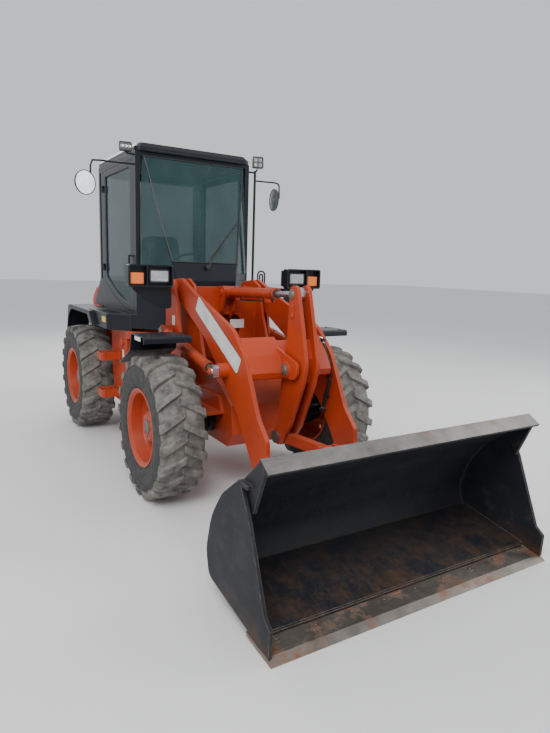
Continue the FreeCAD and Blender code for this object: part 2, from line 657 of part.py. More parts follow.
def steps():
    parts = []
    # Top z of each open step.
    for top in (1050, 630):
        low, wall = top - 85, 10
        y0, y1, out = 320, 530, 950
        outline = ((TANK_OUT + 0.5, y0), (out, y0, 34), (out, y1, 34), (TANK_OUT + 0.5, y1))
        inside = ((TANK_OUT + 12, y0 + wall), (out - wall, y0 + wall, 24), (out - wall, y1 - wall, 24),
                  (TANK_OUT + 12, y1 - wall))
        ring = cut(flat_plate(outline, low, top), flat_plate(inside, low - 5, top + 5))
        flange = box((TANK_OUT + 0.5, TANK_OUT + 12), (y0 - 10, y1 + 10), (top - 130, top + 20))
        bars = [box((x, x + 14), (y0 + 5, y1 - 5), (top - 30, top)) for x in range(790, 930, 36)]
        parts += [fuse(ring, flange, *bars)]
    return both(Part.makeCompound(parts))


def rear_fenders():
    top, skin, x0, x1 = 1480, 10, 664, 950
    outer = ((690, 1325), (860, top, 60), (1965, top, 110), (2110, 1080))
    inner = ((2110 - skin, 1080), (1965 - skin * 0.7, top - skin, 105), (860 + skin * 0.7, top - skin, 55),
             (690 + skin * 1.5, 1325))
    sheet = side_plate(outer + inner, x0, x1)
    arch = ((2078, 1080), (1950, 1432, 330), (870, 1432, 300), (725, 1325))
    lip = side_plate(outer + arch, x1 - 14, x1)
    skirt = box((x0, x0 + 8), (900, 1950), (1290, top - 2))
    # The deck beside the door, open below, with its rear end cut to the arch.
    plan = ((701, 6), (DECK_OUT, 264, 40), (DECK_OUT, 1060), (x0, 1060), (x0, 62), (701, 62))
    hollow = ((711, 20), (DECK_OUT - skin, 268, 32), (DECK_OUT - skin, 1070), (x0 + skin, 1070),
              (x0 + skin, 72), (711, 72))
    side_view = side_plate(((-10, DECK_LOW), (860, DECK_LOW), (1045, DECK_TOP), (-10, DECK_TOP)), 600, 960)
    deck = cut(flat_plate(plan, DECK_LOW, DECK_TOP), flat_plate(hollow, DECK_LOW - 5, DECK_TOP - skin))
    deck = deck.common(side_view)
    # Raised grip strips on the deck, as low y.
    grips = [box((720, DECK_OUT - 40), (y, y + 12), (DECK_TOP - 1, DECK_TOP + 5)) for y in range(290, 800, 60)]
    closer = side_plate(((690, 1330), (862, top - 2), (1040, top - 2), (860, DECK_LOW)), DECK_OUT - 6,
                        x1 - 10)
    return both(fuse(sheet, lip, skirt, deck, closer, *grips))


def engine_hood():
    wall, half, top = 14, HOOD_HALF, HOOD_TOP
    y0, y1 = CAB_BACK + 22, HOOD_BACK

    def shell(inset, front):
        side = side_plate(((front, 1222 - inset * 2), (front, top - inset), (1800, top - inset, 300),
                           (y1 - 70 - inset, 1600 - inset, 60), (y1 - inset, 1530, 30),
                           (y1 - inset, 1222 - inset * 2)), -700, 700)
        w = half - inset
        cross = front_plate(((-w, 1100), (-w, 1690), (-w + 120, top + 4 - inset, 60),
                             (w - 120, top + 4 - inset, 60), (w, 1690), (w, 1100)), front, y1 + 10)
        return side.common(cross)

    body = cut(shell(0, y0), shell(wall, y0 - 20))
    window = front_plate(((-400, 1275, 30), (400, 1275, 30), (400, 1500, 30), (-400, 1500, 30)),
                         y1 - 40, y1 + 10)
    # Louvres in each side, as low y, and the hole for the exhaust.
    slots = [box((half - 30, half + 30), (y, y + 22), (1420, 1620)) for y in range(1560, 1860, 48)]
    slots += [mirrored(slot) for slot in slots]
    pipe = Part.makeCylinder(EXHAUST_R + 3, 200, V(EXHAUST_AT[0], EXHAUST_AT[1], 1700))
    knuckles = [cross_pin(HOOD_HINGE, x, x + 40, HINGE_R) for x in (-300, 260)]
    straps = [box((x, x + 40), (HOOD_HINGE[0], HOOD_HINGE[0] + 60), (top - 8, top + 6)) for x in (-300, 260)]
    return fuse(cut(body, window, pipe, *slots), *knuckles, *straps)


def rear_grille():
    y1 = HOOD_BACK - 15
    plate = front_plate(((-430, 1250, 20), (430, 1250, 20), (430, 1520, 20), (-430, 1520, 20)), y1 - 12, y1)
    window = front_plate(((-390, 1285, 20), (390, 1285, 20), (390, 1490, 20), (-390, 1490, 20)),
                         y1 - 30, y1 + 10)
    slats = [side_plate(((y1 - 12, z), (y1, z - 12), (y1, z - 4), (y1 - 12, z + 8)), -395, 395)
             for z in range(1305, 1490, 26)]
    posts = [box((x - 5, x + 5), (y1 - 12, y1 - 4), (1280, 1495)) for x in (-130, 130)]
    return fuse(cut(plate, window), *slats, *posts)


def counterweight():
    back = REAR_Y
    wide = flat_plate(((-945, 2060), (945, 2060), (945, 2190, 80), (760, back, 120), (-760, back, 120),
                       (-945, 2190, 80)), 640, 1045)
    high = flat_plate(((-560, 2060), (560, 2060), (560, back - 20, 80), (-560, back - 20, 80)), 1040, 1215)
    under = side_plate(((2050, 600), (back + 10, 600), (back + 10, 800), (2180, 600)), -960, 960)
    pocket = box((-302, 302), (2000, 2084), (600, 1190))
    recess = box((-110, 110), (2190, back + 10), (780, 1300))
    lamp_bay = box((560, 745), (back - 45, back + 10), (875, 975))
    body = cut(fuse(wide, high), under, pocket, recess, lamp_bay, mirrored(lamp_bay))
    # Jaw plates of the drawbar pin, as (low z, high z).
    jaws = [box((-110, 110), (2185, 2290), span) for span in ((830, 855), (935, 960))]
    return cut(fuse(body, *jaws), Part.makeCylinder(TOW_PIN_R, 200, V(0, TOW_PIN_Y, 800)))


def engine_block():
    block = box((-190, 190), (1530, 1900), (861, 1300))
    head = front_plate(((-150, 1299), (150, 1299), (120, 1430, 20), (-120, 1430, 20)), 1545, 1885)
    filter_can = bar((120, 1560, 1500), (120, 1860, 1500), 75)
    saddle = box((100, 140), (1640, 1780), (1420, 1450))
    fan = bar((0, 1900, 1180), (0, 1960, 1180), 170)
    radiator = box((-260, 260), (1975, 2045), (1215, 1480))
    stays = [box((x, x + 20), (1890, 1980), (1240, 1290)) for x in (-190, 170)]
    manifold = bar((-200, 1600, 1250), (-200, 1840, 1250), 40)
    return fuse(block, head, filter_can, saddle, fan, radiator, manifold, *stays)


# Cab

def cab_plan(inset, z0, z1, back=CAB_BACK):
    half = CAB_HALF - inset
    return flat_plate(((-half, back - inset), (-half, CAB_FRONT + inset * 0.4),
                       (-NOSE_HALF + inset * 0.4, NOSE_Y + inset),
                       (NOSE_HALF - inset * 0.4, NOSE_Y + inset),
                       (half, CAB_FRONT + inset * 0.4), (half, back - inset)), z0, z1)


def cab_frame():
    posts = []
    # Posts as (half x out, half x in, low y, high y).
    for out, inner, y0, y1 in ((CAB_HALF, 610, -35, 60), (CAB_HALF, 610, 1185, 1290),
                               (CAB_HALF, 610, 1345, CAB_BACK)):
        posts.append(box((inner, out), (y0, y1), (CAB_FLOOR + 20, CAB_TOP)))
    rail = box((610, CAB_HALF), (-35, CAB_BACK), (CAB_TOP - 70, CAB_TOP))
    sill = side_plate(((60, CAB_FLOOR + 20), (60, 1518), (330, 1523, 500), (820, 1664, 900),
                       (1186, 1823), (1186, CAB_FLOOR + 20)), 622, CAB_HALF)
    # The quarter panel runs back over the fender under the rear side window.
    quarter = side_plate(((1200, DECK_TOP + 8), (1200, 1840), (CAB_BACK, 1840), (1700, 1510),
                          (1700, DECK_TOP + 8)), 630, CAB_HALF)
    gutter = side_plate(((-40, CAB_TOP - 96), (-40, CAB_TOP - 84), (1380, CAB_TOP - 84),
                         (1380, CAB_TOP - 96)), CAB_HALF - 2, CAB_HALF + 10)
    knuckles = [Part.makeCylinder(HINGE_R, 40, V(DOOR_HINGE[0], DOOR_HINGE[1], z + 41)) for z in DOOR_KNUCKLES]
    arms = [box((650, DOOR_HINGE[0]), (DOOR_HINGE[1] + 2, DOOR_HINGE[1] + 30), (z + 41, z + 81))
            for z in DOOR_KNUCKLES]
    side = fuse(*posts, rail, sill, quarter, *knuckles, *arms)
    floor = cab_plan(0, CAB_FLOOR, CAB_FLOOR + 24)
    nose = cut(cab_plan(0, CAB_FLOOR + 20, GLASS_LOW),
               cab_plan(SKIN, CAB_FLOOR, GLASS_LOW + 10),
               box((-900, 900), (60, 2000), (1000, 3000)))
    band = cut(flat_plate(((-700, 58), (-700, 6, 10), (-345, -370, 30), (345, -370, 30),
                           (700, 6, 10), (700, 58)), CAB_FLOOR, BAND_TOP),
               cab_plan(12, CAB_FLOOR - 5, BAND_TOP + 5))
    back_low = box((-CAB_HALF, CAB_HALF), (CAB_BACK - SKIN, CAB_BACK), (CAB_FLOOR, 1860))
    back_top = box((-CAB_HALF, CAB_HALF), (CAB_BACK - SKIN, CAB_BACK), (CAB_TOP - 90, CAB_TOP))
    front_top = box((-CAB_HALF, CAB_HALF), (-35, 25), (CAB_TOP - 40, CAB_TOP))
    # Rubber mounts between the frame and the cab's floor, each (x, y).
    feet = [bar((x, y, 1211), (x, y, CAB_FLOOR), 55) for x in (-230, 230) for y in (330, 1230)]
    # Opaque panels below the windscreen and the corner panes, in the planes of the glass.
    cowl = fuse(screen_panel(GLASS_LOW - 4, SCREEN_LOW - 2, 22),
                screen_panel(GLASS_LOW - 4, SCREEN_LOW - 92, 28))
    corner = corner_pane(-20).common(box((-900, 900), (-500, 100), (GLASS_LOW - 20, CORNER_LOW)))
    hinge_lugs = []
    y, z = HOOD_HINGE
    arm = ((CAB_BACK - 5, 1800), (CAB_BACK - 5, z + HINGE_R), (y, z + HINGE_R), (y, z - HINGE_R),
           (CAB_BACK + 5, z - HINGE_R), (CAB_BACK + 5, 1800))
    for x in (-340, -256, 220, 304):
        hinge_lugs += [side_plate(arm, x, x + 36), cross_pin(HOOD_HINGE, x, x + 36, HINGE_R)]
    return fuse(side, mirrored(side), floor, nose, band, back_low, back_top, front_top, *feet, cowl,
                corner, mirrored(corner), *hinge_lugs)


def cab_roof():
    low = CAB_TOP + 1
    plan = ((-CAB_HALF, CAB_BACK + 40, 80), (-CAB_HALF, -60, 60), (CAB_HALF, -60, 60),
            (CAB_HALF, CAB_BACK + 40, 80))
    top = ((-619, CAB_BACK, 80), (-619, -25, 60), (619, -25, 60), (619, CAB_BACK, 80))
    base = flat_plate(plan, low, low + 40)
    wires = [rounded(plan, lambda x, y: V(x, y, low + 40)),
             rounded(top, lambda x, y: V(x, y, ROOF_TOP))]
    crown = Part.makeLoft(wires, True, True)
    # A sunken panel in the middle of the roof and a drip lip over the windscreen.
    panel = flat_plate(((-480, 140, 70), (480, 140, 70), (480, 1240, 70), (-480, 1240, 70)), ROOF_TOP - 10,
                       ROOF_TOP + 5)
    lip = side_plate(((-60, low), (-78, low - 4), (-80, low + 10), (-60, low + 22)), -560, 560)
    return fuse(cut(fuse(base, crown), panel), lip)


def screen_line(z):
    # Half width and y of the windscreen's side edge at height z.
    share = (z - GLASS_LOW) / (CAB_TOP - 42 - GLASS_LOW)
    return (NOSE_HALF + share * (572 - NOSE_HALF), NOSE_Y + share * (-36 - NOSE_Y))


def screen_panel(z0, z1, thickness):
    (h0, y0), (h1, y1) = screen_line(z0), screen_line(z1)
    return pane(((-h0, y0, z0), (-h1, y1, z1), (h1, y1, z1), (h0, y0, z0)), thickness)


def windscreen():
    return screen_panel(SCREEN_LOW, CAB_TOP - 42, GLASS)


def corner_pane(thickness):
    z0, z1 = GLASS_LOW + 2, CAB_TOP - 42
    (h0, y0), (h1, y1) = screen_line(z0), screen_line(z1)
    glass = pane(((h0 + 8, y0 + 6, z0), (h1 + 8, y1 + 4, z1), (655, -30, z0)), -thickness)
    return cut(glass, box((609, 700), (-60, 100), (1000, 3300)))


def corner_panes():
    low = box((-900, 900), (-500, 100), (GLASS_LOW - 100, CORNER_LOW + 2))
    return both(cut(corner_pane(GLASS), low))


def back_and_quarter_glass():
    back = box((-606, 606), (CAB_BACK - 20, CAB_BACK - 20 + GLASS), (1862, CAB_TOP - 92))
    quarter = box((640, 640 + GLASS), (1291, 1344), (1842, CAB_TOP - 72))
    return back, both(quarter)


def door(sign):
    x0, x1 = 624, CAB_HALF
    y0, y1 = 64, 1180
    top = CAB_TOP - 76
    panel = side_plate(((y0, 1526, 15), (330, 1531, 500), (820, 1672, 900), (y1, 1829, 20),
                        (y1, top, 20), (y0, top, 20)), x0, x1)
    light = ((y0 + 95, 1606, 50), (380, 1611, 400), (820, 1742, 700), (y1 - 50, 1878, 50),
             (y1 - 50, top - 55, 40), (y0 + 95, top - 55, 40))
    rim_line = ((y0 + 89, 1600, 52), (380, 1605, 400), (820, 1736, 700), (y1 - 44, 1873, 52),
                (y1 - 44, top - 49, 44), (y0 + 89, top - 49, 44))
    shell = cut(panel, side_plate(light, x0 - 20, x1 + 20),
                side_plate(rim_line, x0 + 14, x0 + 14 + GLASS + 1))
    handle = fuse(bar((x1 - 2, 112, 1900), (x1 + 30, 112, 1900), 8),
                  bar((x1 - 2, 112, 2115), (x1 + 30, 112, 2115), 8),
                  bar((x1 + 30, 112, 1890), (x1 + 30, 112, 2125), 9))
    knuckles = [Part.makeCylinder(HINGE_R, 40, V(DOOR_HINGE[0], DOOR_HINGE[1], z)) for z in DOOR_KNUCKLES]
    arms = [box((640, DOOR_HINGE[0]), (DOOR_HINGE[1] - 30, DOOR_HINGE[1] - 2), (z, z + 40))
            for z in DOOR_KNUCKLES]
    shell = fuse(shell, handle, *knuckles, *arms)
    glass = side_plate(rim_line, x0 + 14.5, x0 + 14.5 + GLASS)
    if sign < 0:
        return mirrored(shell), mirrored(glass)
    return shell, glass


def seat():
    low = CAB_FLOOR + 25
    base = front_plate(((-150, low), (150, low), (120, 1500, 60), (170, 1640), (-170, 1640), (-120, 1500, 60)),
                       630, 950)
    cushion = side_plate(((490, 1642, 20), (480, 1740, 40), (700, 1752, 300), (990, 1742, 30),
                          (990, 1642, 10)),
                         -245, 245)
    back = side_plate(((925, 1757, 20), (965, 2120), (1015, 2380, 40), (1100, 2380, 40), (1060, 1757, 20)),
                      -235, 235)
    return base, cushion, back


def controls():
    console = side_plate(((-310, CAB_FLOOR + 25), (-310, 1700, 30), (-190, 1830, 60), (-120, 1800, 40),
                          (-160, CAB_FLOOR + 25)), -190, 190)
    column = bar((0, -150, 1700), (0, 190, 2010), 34)
    wheel = Part.makeTorus(190, 15, V(0, 200, 2019), V(0, 340, 310))
    hub = bar((0, 186, 2006), (0, 208, 2026), 40)
    spokes = []
    for turn in (0, 120, 240):
        spoke = bar((0, 0, 0), (190, 0, 0), 9)
        spoke.rotate(V(0, 0, 0), V(0, 0, 1), turn + 90)
        spoke.rotate(V(0, 0, 0), V(1, 0, 0), -math.degrees(math.atan2(340, 310)))
        spoke.translate(V(0, 200, 2019))
        spokes.append(spoke)
    column = cut(column, hub)
    return fuse(console, column), fuse(wheel, hub, *spokes)


def mirrors():
    # Bent arm of the right mirror from the front post, then the left one's from the lamp pole.
    y = MIRROR_Y
    right = ((-655, -20, 3033), (-1010, y, 3030), (-1085, y, 3024), (-1103, y, 2975), (-1106, y, 2830))
    left = ((POLE[0], POLE[1], 3012), (1010, y, 3018), (1060, y, 3008), (1074, y, 2980), (1078, y, 2850))
    parts = []
    for route in (right, left):
        for a, b in zip(route, route[1:]):
            parts.append(bar(a, b, 9))
            parts.append(Part.makeSphere(9, V(*b)))
    parts.append(bar((-1106, y, 2834), (-1130, y, 2805), 9))
    parts.append(bar((1078, y, 2854), (1040, y, 2822), 9))
    return parts


def mirror_head(centre, radius, turn):
    # A shallow round dish, (distance behind the glass, radius), facing forward before its turn.
    section = ((0, 0), (0, radius - 6), (-4, radius - 5), (-5, radius), (14, radius - 2), (30, radius * 0.6),
               (34, 0))
    wire = Part.makePolygon([V(r, y, 0) for y, r in section + (section[0],)])
    head = Part.Face(wire).revolve(V(), V(0, 1, 0), 360)
    head.rotate(V(), V(0, 0, 1), turn)
    head.translate(V(*centre))
    return head


def mirror_heads():
    arms = mirrors()
    right = mirror_head((-1165, MIRROR_Y - 40, 2800), 118, 23)
    left = mirror_head((985, MIRROR_Y - 30, 2818), 125, -98)
    return Part.makeCompound([cut(head, *arms) for head in (right, left)])


def light_pole():
    x, y = POLE
    return [bar((x, y, 1560), (x, y, 3120), 14), bar((652, y, 3100), (x, y, 3100), 10),
            bar((652, y, 1600), (x, y, 1600), 12), bar((x, y, 3100), (x + 20, y - 20, 3140), 10)]


def work_lamp(centre, size, turn, tilt):
    # A flat lamp with cooling fins behind; size is (width, height).
    w, h = size[0] / 2, size[1] / 2
    body = front_plate(((-w, -h, 12), (w, -h, 12), (w, h, 12), (-w, h, 12)), -14, 16)
    bezel = front_plate(((-w + 9, -h + 9, 8), (w - 9, -h + 9, 8), (w - 9, h - 9, 8), (-w + 9, h - 9, 8)),
                        -20, -10)
    fins = [box((-w + 8, w - 8), (15, 34), (z - 2, z + 2)) for z in (-0.6 * h, -0.2 * h, 0.2 * h, 0.6 * h)]
    lamp = fuse(cut(body, bezel), *fins)
    lamp.rotate(V(), V(1, 0, 0), -tilt)
    lamp.rotate(V(), V(0, 0, 1), turn)
    lamp.translate(V(*centre))
    return lamp


def work_lamps():
    x, y = POLE
    # Lamps as (x, y, z), (width, height), turn and tilt in degrees.
    table = (((x + 22, y - 22, 3212), (126, 128), -15, 4), ((-750, -10, 3196), (126, 92), -10, 14),
             ((-500, CAB_BACK + 92, 3130), (126, 92), 180, 14),
             ((500, CAB_BACK + 92, 3130), (126, 92), 180, 14))
    return [work_lamp(*row) for row in table]


def lamp_stays():
    return [bar((-655, 0, 3130), (-742, 0, 3140), 9), bar((-742, 0, 3140), (-750, 4, 3180), 9),
            bar((-500, CAB_BACK - 8, 3120), (-500, CAB_BACK + 60, 3120), 10),
            bar((500, CAB_BACK - 8, 3120), (500, CAB_BACK + 60, 3120), 10)]


def tail_lamps():
    lamp = front_plate(((564, 879, 10), (741, 879, 10), (741, 971, 10), (564, 971, 10)), REAR_Y - 44, REAR_Y - 12)
    return both(lamp)


def exhaust():
    x, y = EXHAUST_AT
    pipe = Part.makeCylinder(EXHAUST_R, 300, V(x, y, 1720))
    mouth = Part.makeCylinder(EXHAUST_R - 5, 400, V(x, y, 1735))
    foot = Part.makeCylinder(EXHAUST_R + 22, 6, V(x, y, HOOD_TOP))
    return cut(fuse(pipe, foot), mouth)


def wiper():
    def on_glass(share, half, off):
        z = SCREEN_LOW + share * (CAB_TOP - 42 - SCREEN_LOW)
        y = screen_line(z)[1]
        return (half, y - off, z)
    pivot = (8, screen_line(2023)[1] - 42, 2023)
    elbow = on_glass(0.16, 190, 34)
    low, high = on_glass(0.05, 70, 12), on_glass(0.42, 432, 12)
    middle = tuple((a + b) / 2 for a, b in zip(low, high))
    motor = bar((8, screen_line(2023)[1] - 14, 2023), pivot, 24)
    return fuse(motor, bar(pivot, elbow, 7), bar(elbow, middle, 6), bar(low, high, 6),
                Part.makeSphere(8, V(*elbow)))


def steering_rams():
    base, eye = V(*STEER_BASE), V(*STEER_EYE)
    reach = eye - base
    way = V(reach).normalize()
    barrel = fuse(Part.makeCylinder(32, 350, base + way * 30, way),
                  Part.makeCylinder(38, 72, base - V(0, 0, 36)))
    barrel = cut(barrel, Part.makeCylinder(18 + RUN_GAP, 400, base + way * 44, way),
                 Part.makeCylinder(STEER_PIN_R + RUN_GAP, 90, base - V(0, 0, 45)))
    rod = fuse(Part.makeCylinder(18, reach.Length - 182, base + way * 182, way),
               Part.makeCylinder(34, 70, eye - V(0, 0, 35)))
    return barrel, rod


def build():
    nodes = {}
    place_wheels(nodes)
    nodes["front_axle"] = axle(-WHEELBASE / 2)
    nodes["rear_axle"] = axle(WHEELBASE / 2)
    nodes["front_frame"] = cut(front_frame(), nodes["front_axle"])
    nodes["front_fenders"] = front_fenders()
    nodes["lamp_brackets"] = lamp_brackets()
    nodes["head_lamps"] = head_lamps()
    nodes["turn_lamps"] = turn_lamps()
    nodes["lift_arms"] = lift_arms()
    nodes["boom_hoses"] = boom_hoses()
    nodes["tower_hoses"] = tower_hoses()
    nodes["bell_crank"] = bell_crank()
    nodes["tilt_link"] = tilt_link()
    nodes["tilt_barrel"], nodes["tilt_rod"] = tilt_ram()
    nodes["lift_barrels"], nodes["lift_rods"] = lift_rams()
    nodes["bucket_shell"] = bucket_shell()
    nodes["coupler"] = cut(coupler(), nodes["bucket_shell"])
    nodes["bucket_pins"] = bucket_pins()
    nodes["bucket_edge"] = bucket_edge()
    barrel, rod = steering_rams()
    for side, turn in (("left", lambda shape: shape), ("right", mirrored)):
        nodes["steering_barrel_" + side] = turn(barrel)
        nodes["steering_rod_" + side] = turn(rod)
    nodes["rear_frame"] = cut(rear_frame(), nodes["rear_axle"])
    nodes["side_tanks"] = cut(side_tanks(), nodes["rear_frame"])
    nodes["steps"] = steps()
    nodes["rear_fenders"] = rear_fenders()
    nodes["engine_hood"] = engine_hood()
    nodes["rear_grille"] = rear_grille()
    nodes["counterweight"] = counterweight()
    nodes["engine_block"] = engine_block()
    nodes["cab_frame"] = cab_frame()
    nodes["cab_roof"] = cab_roof()
    panes = Part.makeCompound([windscreen(), corner_panes(), *back_and_quarter_glass()])
    nodes["cab_glass"] = cut(panes, nodes["cab_frame"])
    nodes["door_left"], nodes["door_glass_left"] = door(1)
    nodes["door_right"], nodes["door_glass_right"] = door(-1)
    nodes["seat"] = Part.makeCompound(seat())
    nodes["crank_pin"] = crank_pin()
    nodes["link_pin"] = link_pin()
    nodes["dash_console"], nodes["steering_wheel"] = controls()
    nodes["work_lamps"] = Part.makeCompound(work_lamps())
    arms = fuse(*mirrors(), *light_pole(), *lamp_stays())
    nodes["mirror_arms"] = cut(arms, nodes["cab_frame"], nodes["cab_roof"], nodes["work_lamps"])
    nodes["mirror_heads"] = mirror_heads()
    nodes["tail_lamps"] = tail_lamps()
    nodes["exhaust_pipe"] = exhaust()
    nodes["wiper"] = wiper()
    return nodes


os.makedirs("parts", exist_ok=True)
for name, shape in build().items():
    shape.translate(V(-CENTRE_X, -CENTRE_Y, 0))
    shape.exportStep("parts/%s.step" % name)
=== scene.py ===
import bpy
import bmesh
import json
import math
from mathutils import Matrix, Vector


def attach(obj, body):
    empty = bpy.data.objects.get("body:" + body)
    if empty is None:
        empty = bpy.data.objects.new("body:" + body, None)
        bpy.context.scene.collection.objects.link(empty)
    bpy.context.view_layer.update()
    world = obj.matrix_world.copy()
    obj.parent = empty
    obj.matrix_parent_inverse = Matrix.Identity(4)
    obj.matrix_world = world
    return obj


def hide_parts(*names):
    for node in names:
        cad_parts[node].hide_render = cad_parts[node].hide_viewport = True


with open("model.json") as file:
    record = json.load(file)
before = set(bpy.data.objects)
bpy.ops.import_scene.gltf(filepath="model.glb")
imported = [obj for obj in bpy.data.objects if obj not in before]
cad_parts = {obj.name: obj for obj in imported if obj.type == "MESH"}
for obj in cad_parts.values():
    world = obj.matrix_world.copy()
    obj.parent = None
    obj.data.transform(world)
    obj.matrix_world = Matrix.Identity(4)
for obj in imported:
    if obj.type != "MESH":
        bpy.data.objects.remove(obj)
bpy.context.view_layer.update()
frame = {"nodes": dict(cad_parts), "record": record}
NODES = frame["nodes"]

# Where the drawing datum, under the steering pivot in the machine's middle plane, lies in the row frame.
SHIFT = Vector((0.058625, 0.721, 0.0))

# Camera, fitted to the photograph: place from the datum, angles in degrees, focal length in pixels.
CAM_AT = (-2.5512, -5.9420, 2.0355)
CAM_YAW, CAM_PITCH, CAM_ROLL = 31.64, -9.87, 1.83
CAM_FOCAL = 566.1
IMAGE_H = 733
SENSOR = 36.0

# Millimetres from the drawing datum, as in the source.
HALF_TRACK = 870.0
AXLE_Z = 634
FRONT_AXLE_Y, REAR_AXLE_Y = -1300.0, 1300.0


def make_camera():
    yaw, pitch, roll = (math.radians(a) for a in (CAM_YAW, CAM_PITCH, CAM_ROLL))
    ahead = Vector((math.sin(yaw) * math.cos(pitch), math.cos(yaw) * math.cos(pitch), math.sin(pitch)))
    right = Vector((math.cos(yaw), -math.sin(yaw), 0))
    up = right.cross(ahead)
    right, up = right * math.cos(roll) + up * math.sin(roll), up * math.cos(roll) - right * math.sin(roll)
    data = bpy.data.cameras.new("camera")
    data.sensor_width = SENSOR
    data.lens = CAM_FOCAL * SENSOR / IMAGE_H
    cam = bpy.data.objects.new("camera", data)
    bpy.context.scene.collection.objects.link(cam)
    turn = Matrix((right, up, -ahead)).transposed().to_4x4()
    cam.matrix_world = Matrix.Translation(Vector(CAM_AT) + SHIFT) @ turn
    bpy.context.scene.camera = cam


# Materials

class Nodes:
    """A material's node tree, built in object coordinates."""

    def __init__(self, name):
        self.mat = bpy.data.materials.new(name)
        self.mat.use_nodes = True
        self.tree = self.mat.node_tree
        self.bsdf = self.tree.nodes["Principled BSDF"]
        coords = self.tree.nodes.new("ShaderNodeTexCoord")
        self.coords = coords.outputs["Object"]

    def node(self, kind, inputs=(), **props):
        made = self.tree.nodes.new(kind)
        for key, value in props.items():
            setattr(made, key, value)
        for key, value in dict(inputs).items():
            if hasattr(value, "is_output"):
                self.tree.links.new(value, made.inputs[key])
            else:
                made.inputs[key].default_value = value
        return made

    def noise(self, scale, detail, rough=0.6, coords=None):
        made = self.node("ShaderNodeTexNoise", {"Scale": scale, "Detail": detail, "Roughness": rough,
                                                "Vector": coords or self.coords})
        return made.outputs["Fac"]

    def ramp(self, value, low, high):
        made = self.node("ShaderNodeMapRange", {"Value": value, "From Min": low, "From Max": high})
        return made.outputs["Result"]

    def math(self, operation, a, b):
        return self.node("ShaderNodeMath", {0: a, 1: b}, operation=operation).outputs[0]

    def mix(self, fac, a, b):
        made = self.node("ShaderNodeMix", {0: fac, 6: a, 7: b}, data_type="RGBA")
        return made.outputs[2]

    def scale(self, x, y, z):
        made = self.node("ShaderNodeMapping", {"Vector": self.coords, "Scale": (x, y, z)})
        return made.outputs["Vector"]

    def height(self):
        """Height over the ground, in metres."""
        split = self.node("ShaderNodeSeparateXYZ", {"Vector": self.coords})
        return split.outputs["Z"]

    def up(self):
        """How far a face looks upward, from -1 to 1."""
        geo = self.node("ShaderNodeNewGeometry")
        split = self.node("ShaderNodeSeparateXYZ", {"Vector": geo.outputs["Normal"]})
        return split.outputs["Z"]

    def bump(self, height, strength, distance, normal=None):
        made = self.node("ShaderNodeBump", {"Height": height, "Strength": strength, "Distance": distance})
        if normal:
            self.tree.links.new(normal, made.inputs["Normal"])
        self.link(made.outputs["Normal"], "Normal")

    def edges(self, radius):
        """Rounded normals, and how close a point lies to a sharp edge, from 0 to 1."""
        soft = self.node("ShaderNodeBevel", {"Radius": radius}, samples=4).outputs["Normal"]
        flat = self.node("ShaderNodeNewGeometry").outputs["Normal"]
        dot = self.node("ShaderNodeVectorMath", {0: soft, 1: flat}, operation="DOT_PRODUCT")
        return soft, self.ramp(dot.outputs["Value"], 0.99, 0.82)

    def link(self, value, socket):
        if hasattr(value, "is_output"):
            self.tree.links.new(value, self.bsdf.inputs[socket])
        else:
            self.bsdf.inputs[socket].default_value = value


def rgba(r, g, b):
    return (r, g, b, 1.0)


DUST = rgba(0.30, 0.25, 0.19)
CHIPPED = rgba(0.05, 0.035, 0.03)


def painted(name, colour, deep, worn_and_highlight_edge, dust, rough=0.38, sheen=0.35):
    """Paint in two tones with chips, dust on top and low down, and paler edges that are partly worn paint
    and partly a painted highlight.
    """
    n = Nodes(name)
    soft, edge = n.edges(0.005)
    wide = n.noise(1.7, 6)
    fine = n.noise(38, 8, 0.7)
    tone = n.mix(n.ramp(wide, 0.35, 0.7), colour, deep)
    spots = n.ramp(n.noise(9, 9, 0.72), 0.66, 0.71)
    tone = n.mix(spots, tone, CHIPPED)
    settled = n.math("MULTIPLY", n.ramp(n.up(), 0.1, 0.9), n.ramp(n.noise(4.5, 8, 0.7), 0.25, 0.7))
    low = n.math("MULTIPLY", n.ramp(n.height(), 1.5, 0.2), n.ramp(fine, 0.3, 0.75))
    haze = n.math("MULTIPLY", n.math("ADD", n.math("MULTIPLY", settled, 1.2), low), dust)
    tone = n.mix(haze, tone, DUST)
    # Paler colour along every sharp edge: partly worn paint, partly a painted highlight.
    tone = n.mix(n.math("MULTIPLY", edge, n.ramp(n.noise(14, 6), 0.25, 0.6)), tone, worn_and_highlight_edge)
    tone = n.mix(n.math("MULTIPLY", edge, n.ramp(n.noise(22, 8, 0.75), 0.60, 0.66)), tone, CHIPPED)
    n.link(tone, "Base Color")
    shine = n.math("ADD", n.math("MULTIPLY", haze, 0.6), n.math("MULTIPLY", fine, 0.22))
    n.link(n.math("ADD", shine, rough - 0.1), "Roughness")
    n.link(sheen, "Specular IOR Level")
    n.bump(n.noise(60, 4), 0.12, 0.002, soft)
    return n.mat


def steel(name, colour, rough, rust=0.0, scratch=0.5):
    """Bare metal, brushed along x, with rust in patches where rust is above 0."""
    n = Nodes(name)
    streak = n.noise(30, 8, 0.7, n.scale(0.25, 6, 6))
    tone = n.mix(n.ramp(n.noise(3.5, 8, 0.7), 0.35, 0.7), colour, rgba(*(c * 0.45 for c in colour[:3])))
    if rust:
        patch = n.ramp(n.noise(4.2, 10, 0.75), 0.62 - 0.3 * rust, 0.72 - 0.25 * rust)
        tone = n.mix(patch, tone, rgba(0.17, 0.065, 0.028))
        n.link(n.math("SUBTRACT", 0.85, patch), "Metallic")
    else:
        n.link(0.9, "Metallic")
    tone = n.mix(n.math("MULTIPLY", n.ramp(streak, 0.55, 0.75), scratch), tone, rgba(0.45, 0.44, 0.43))
    n.link(tone, "Base Color")
    n.link(n.math("ADD", n.math("MULTIPLY", streak, 0.3), rough - 0.15), "Roughness")
    n.bump(streak, 0.15, 0.002)
    return n.mat


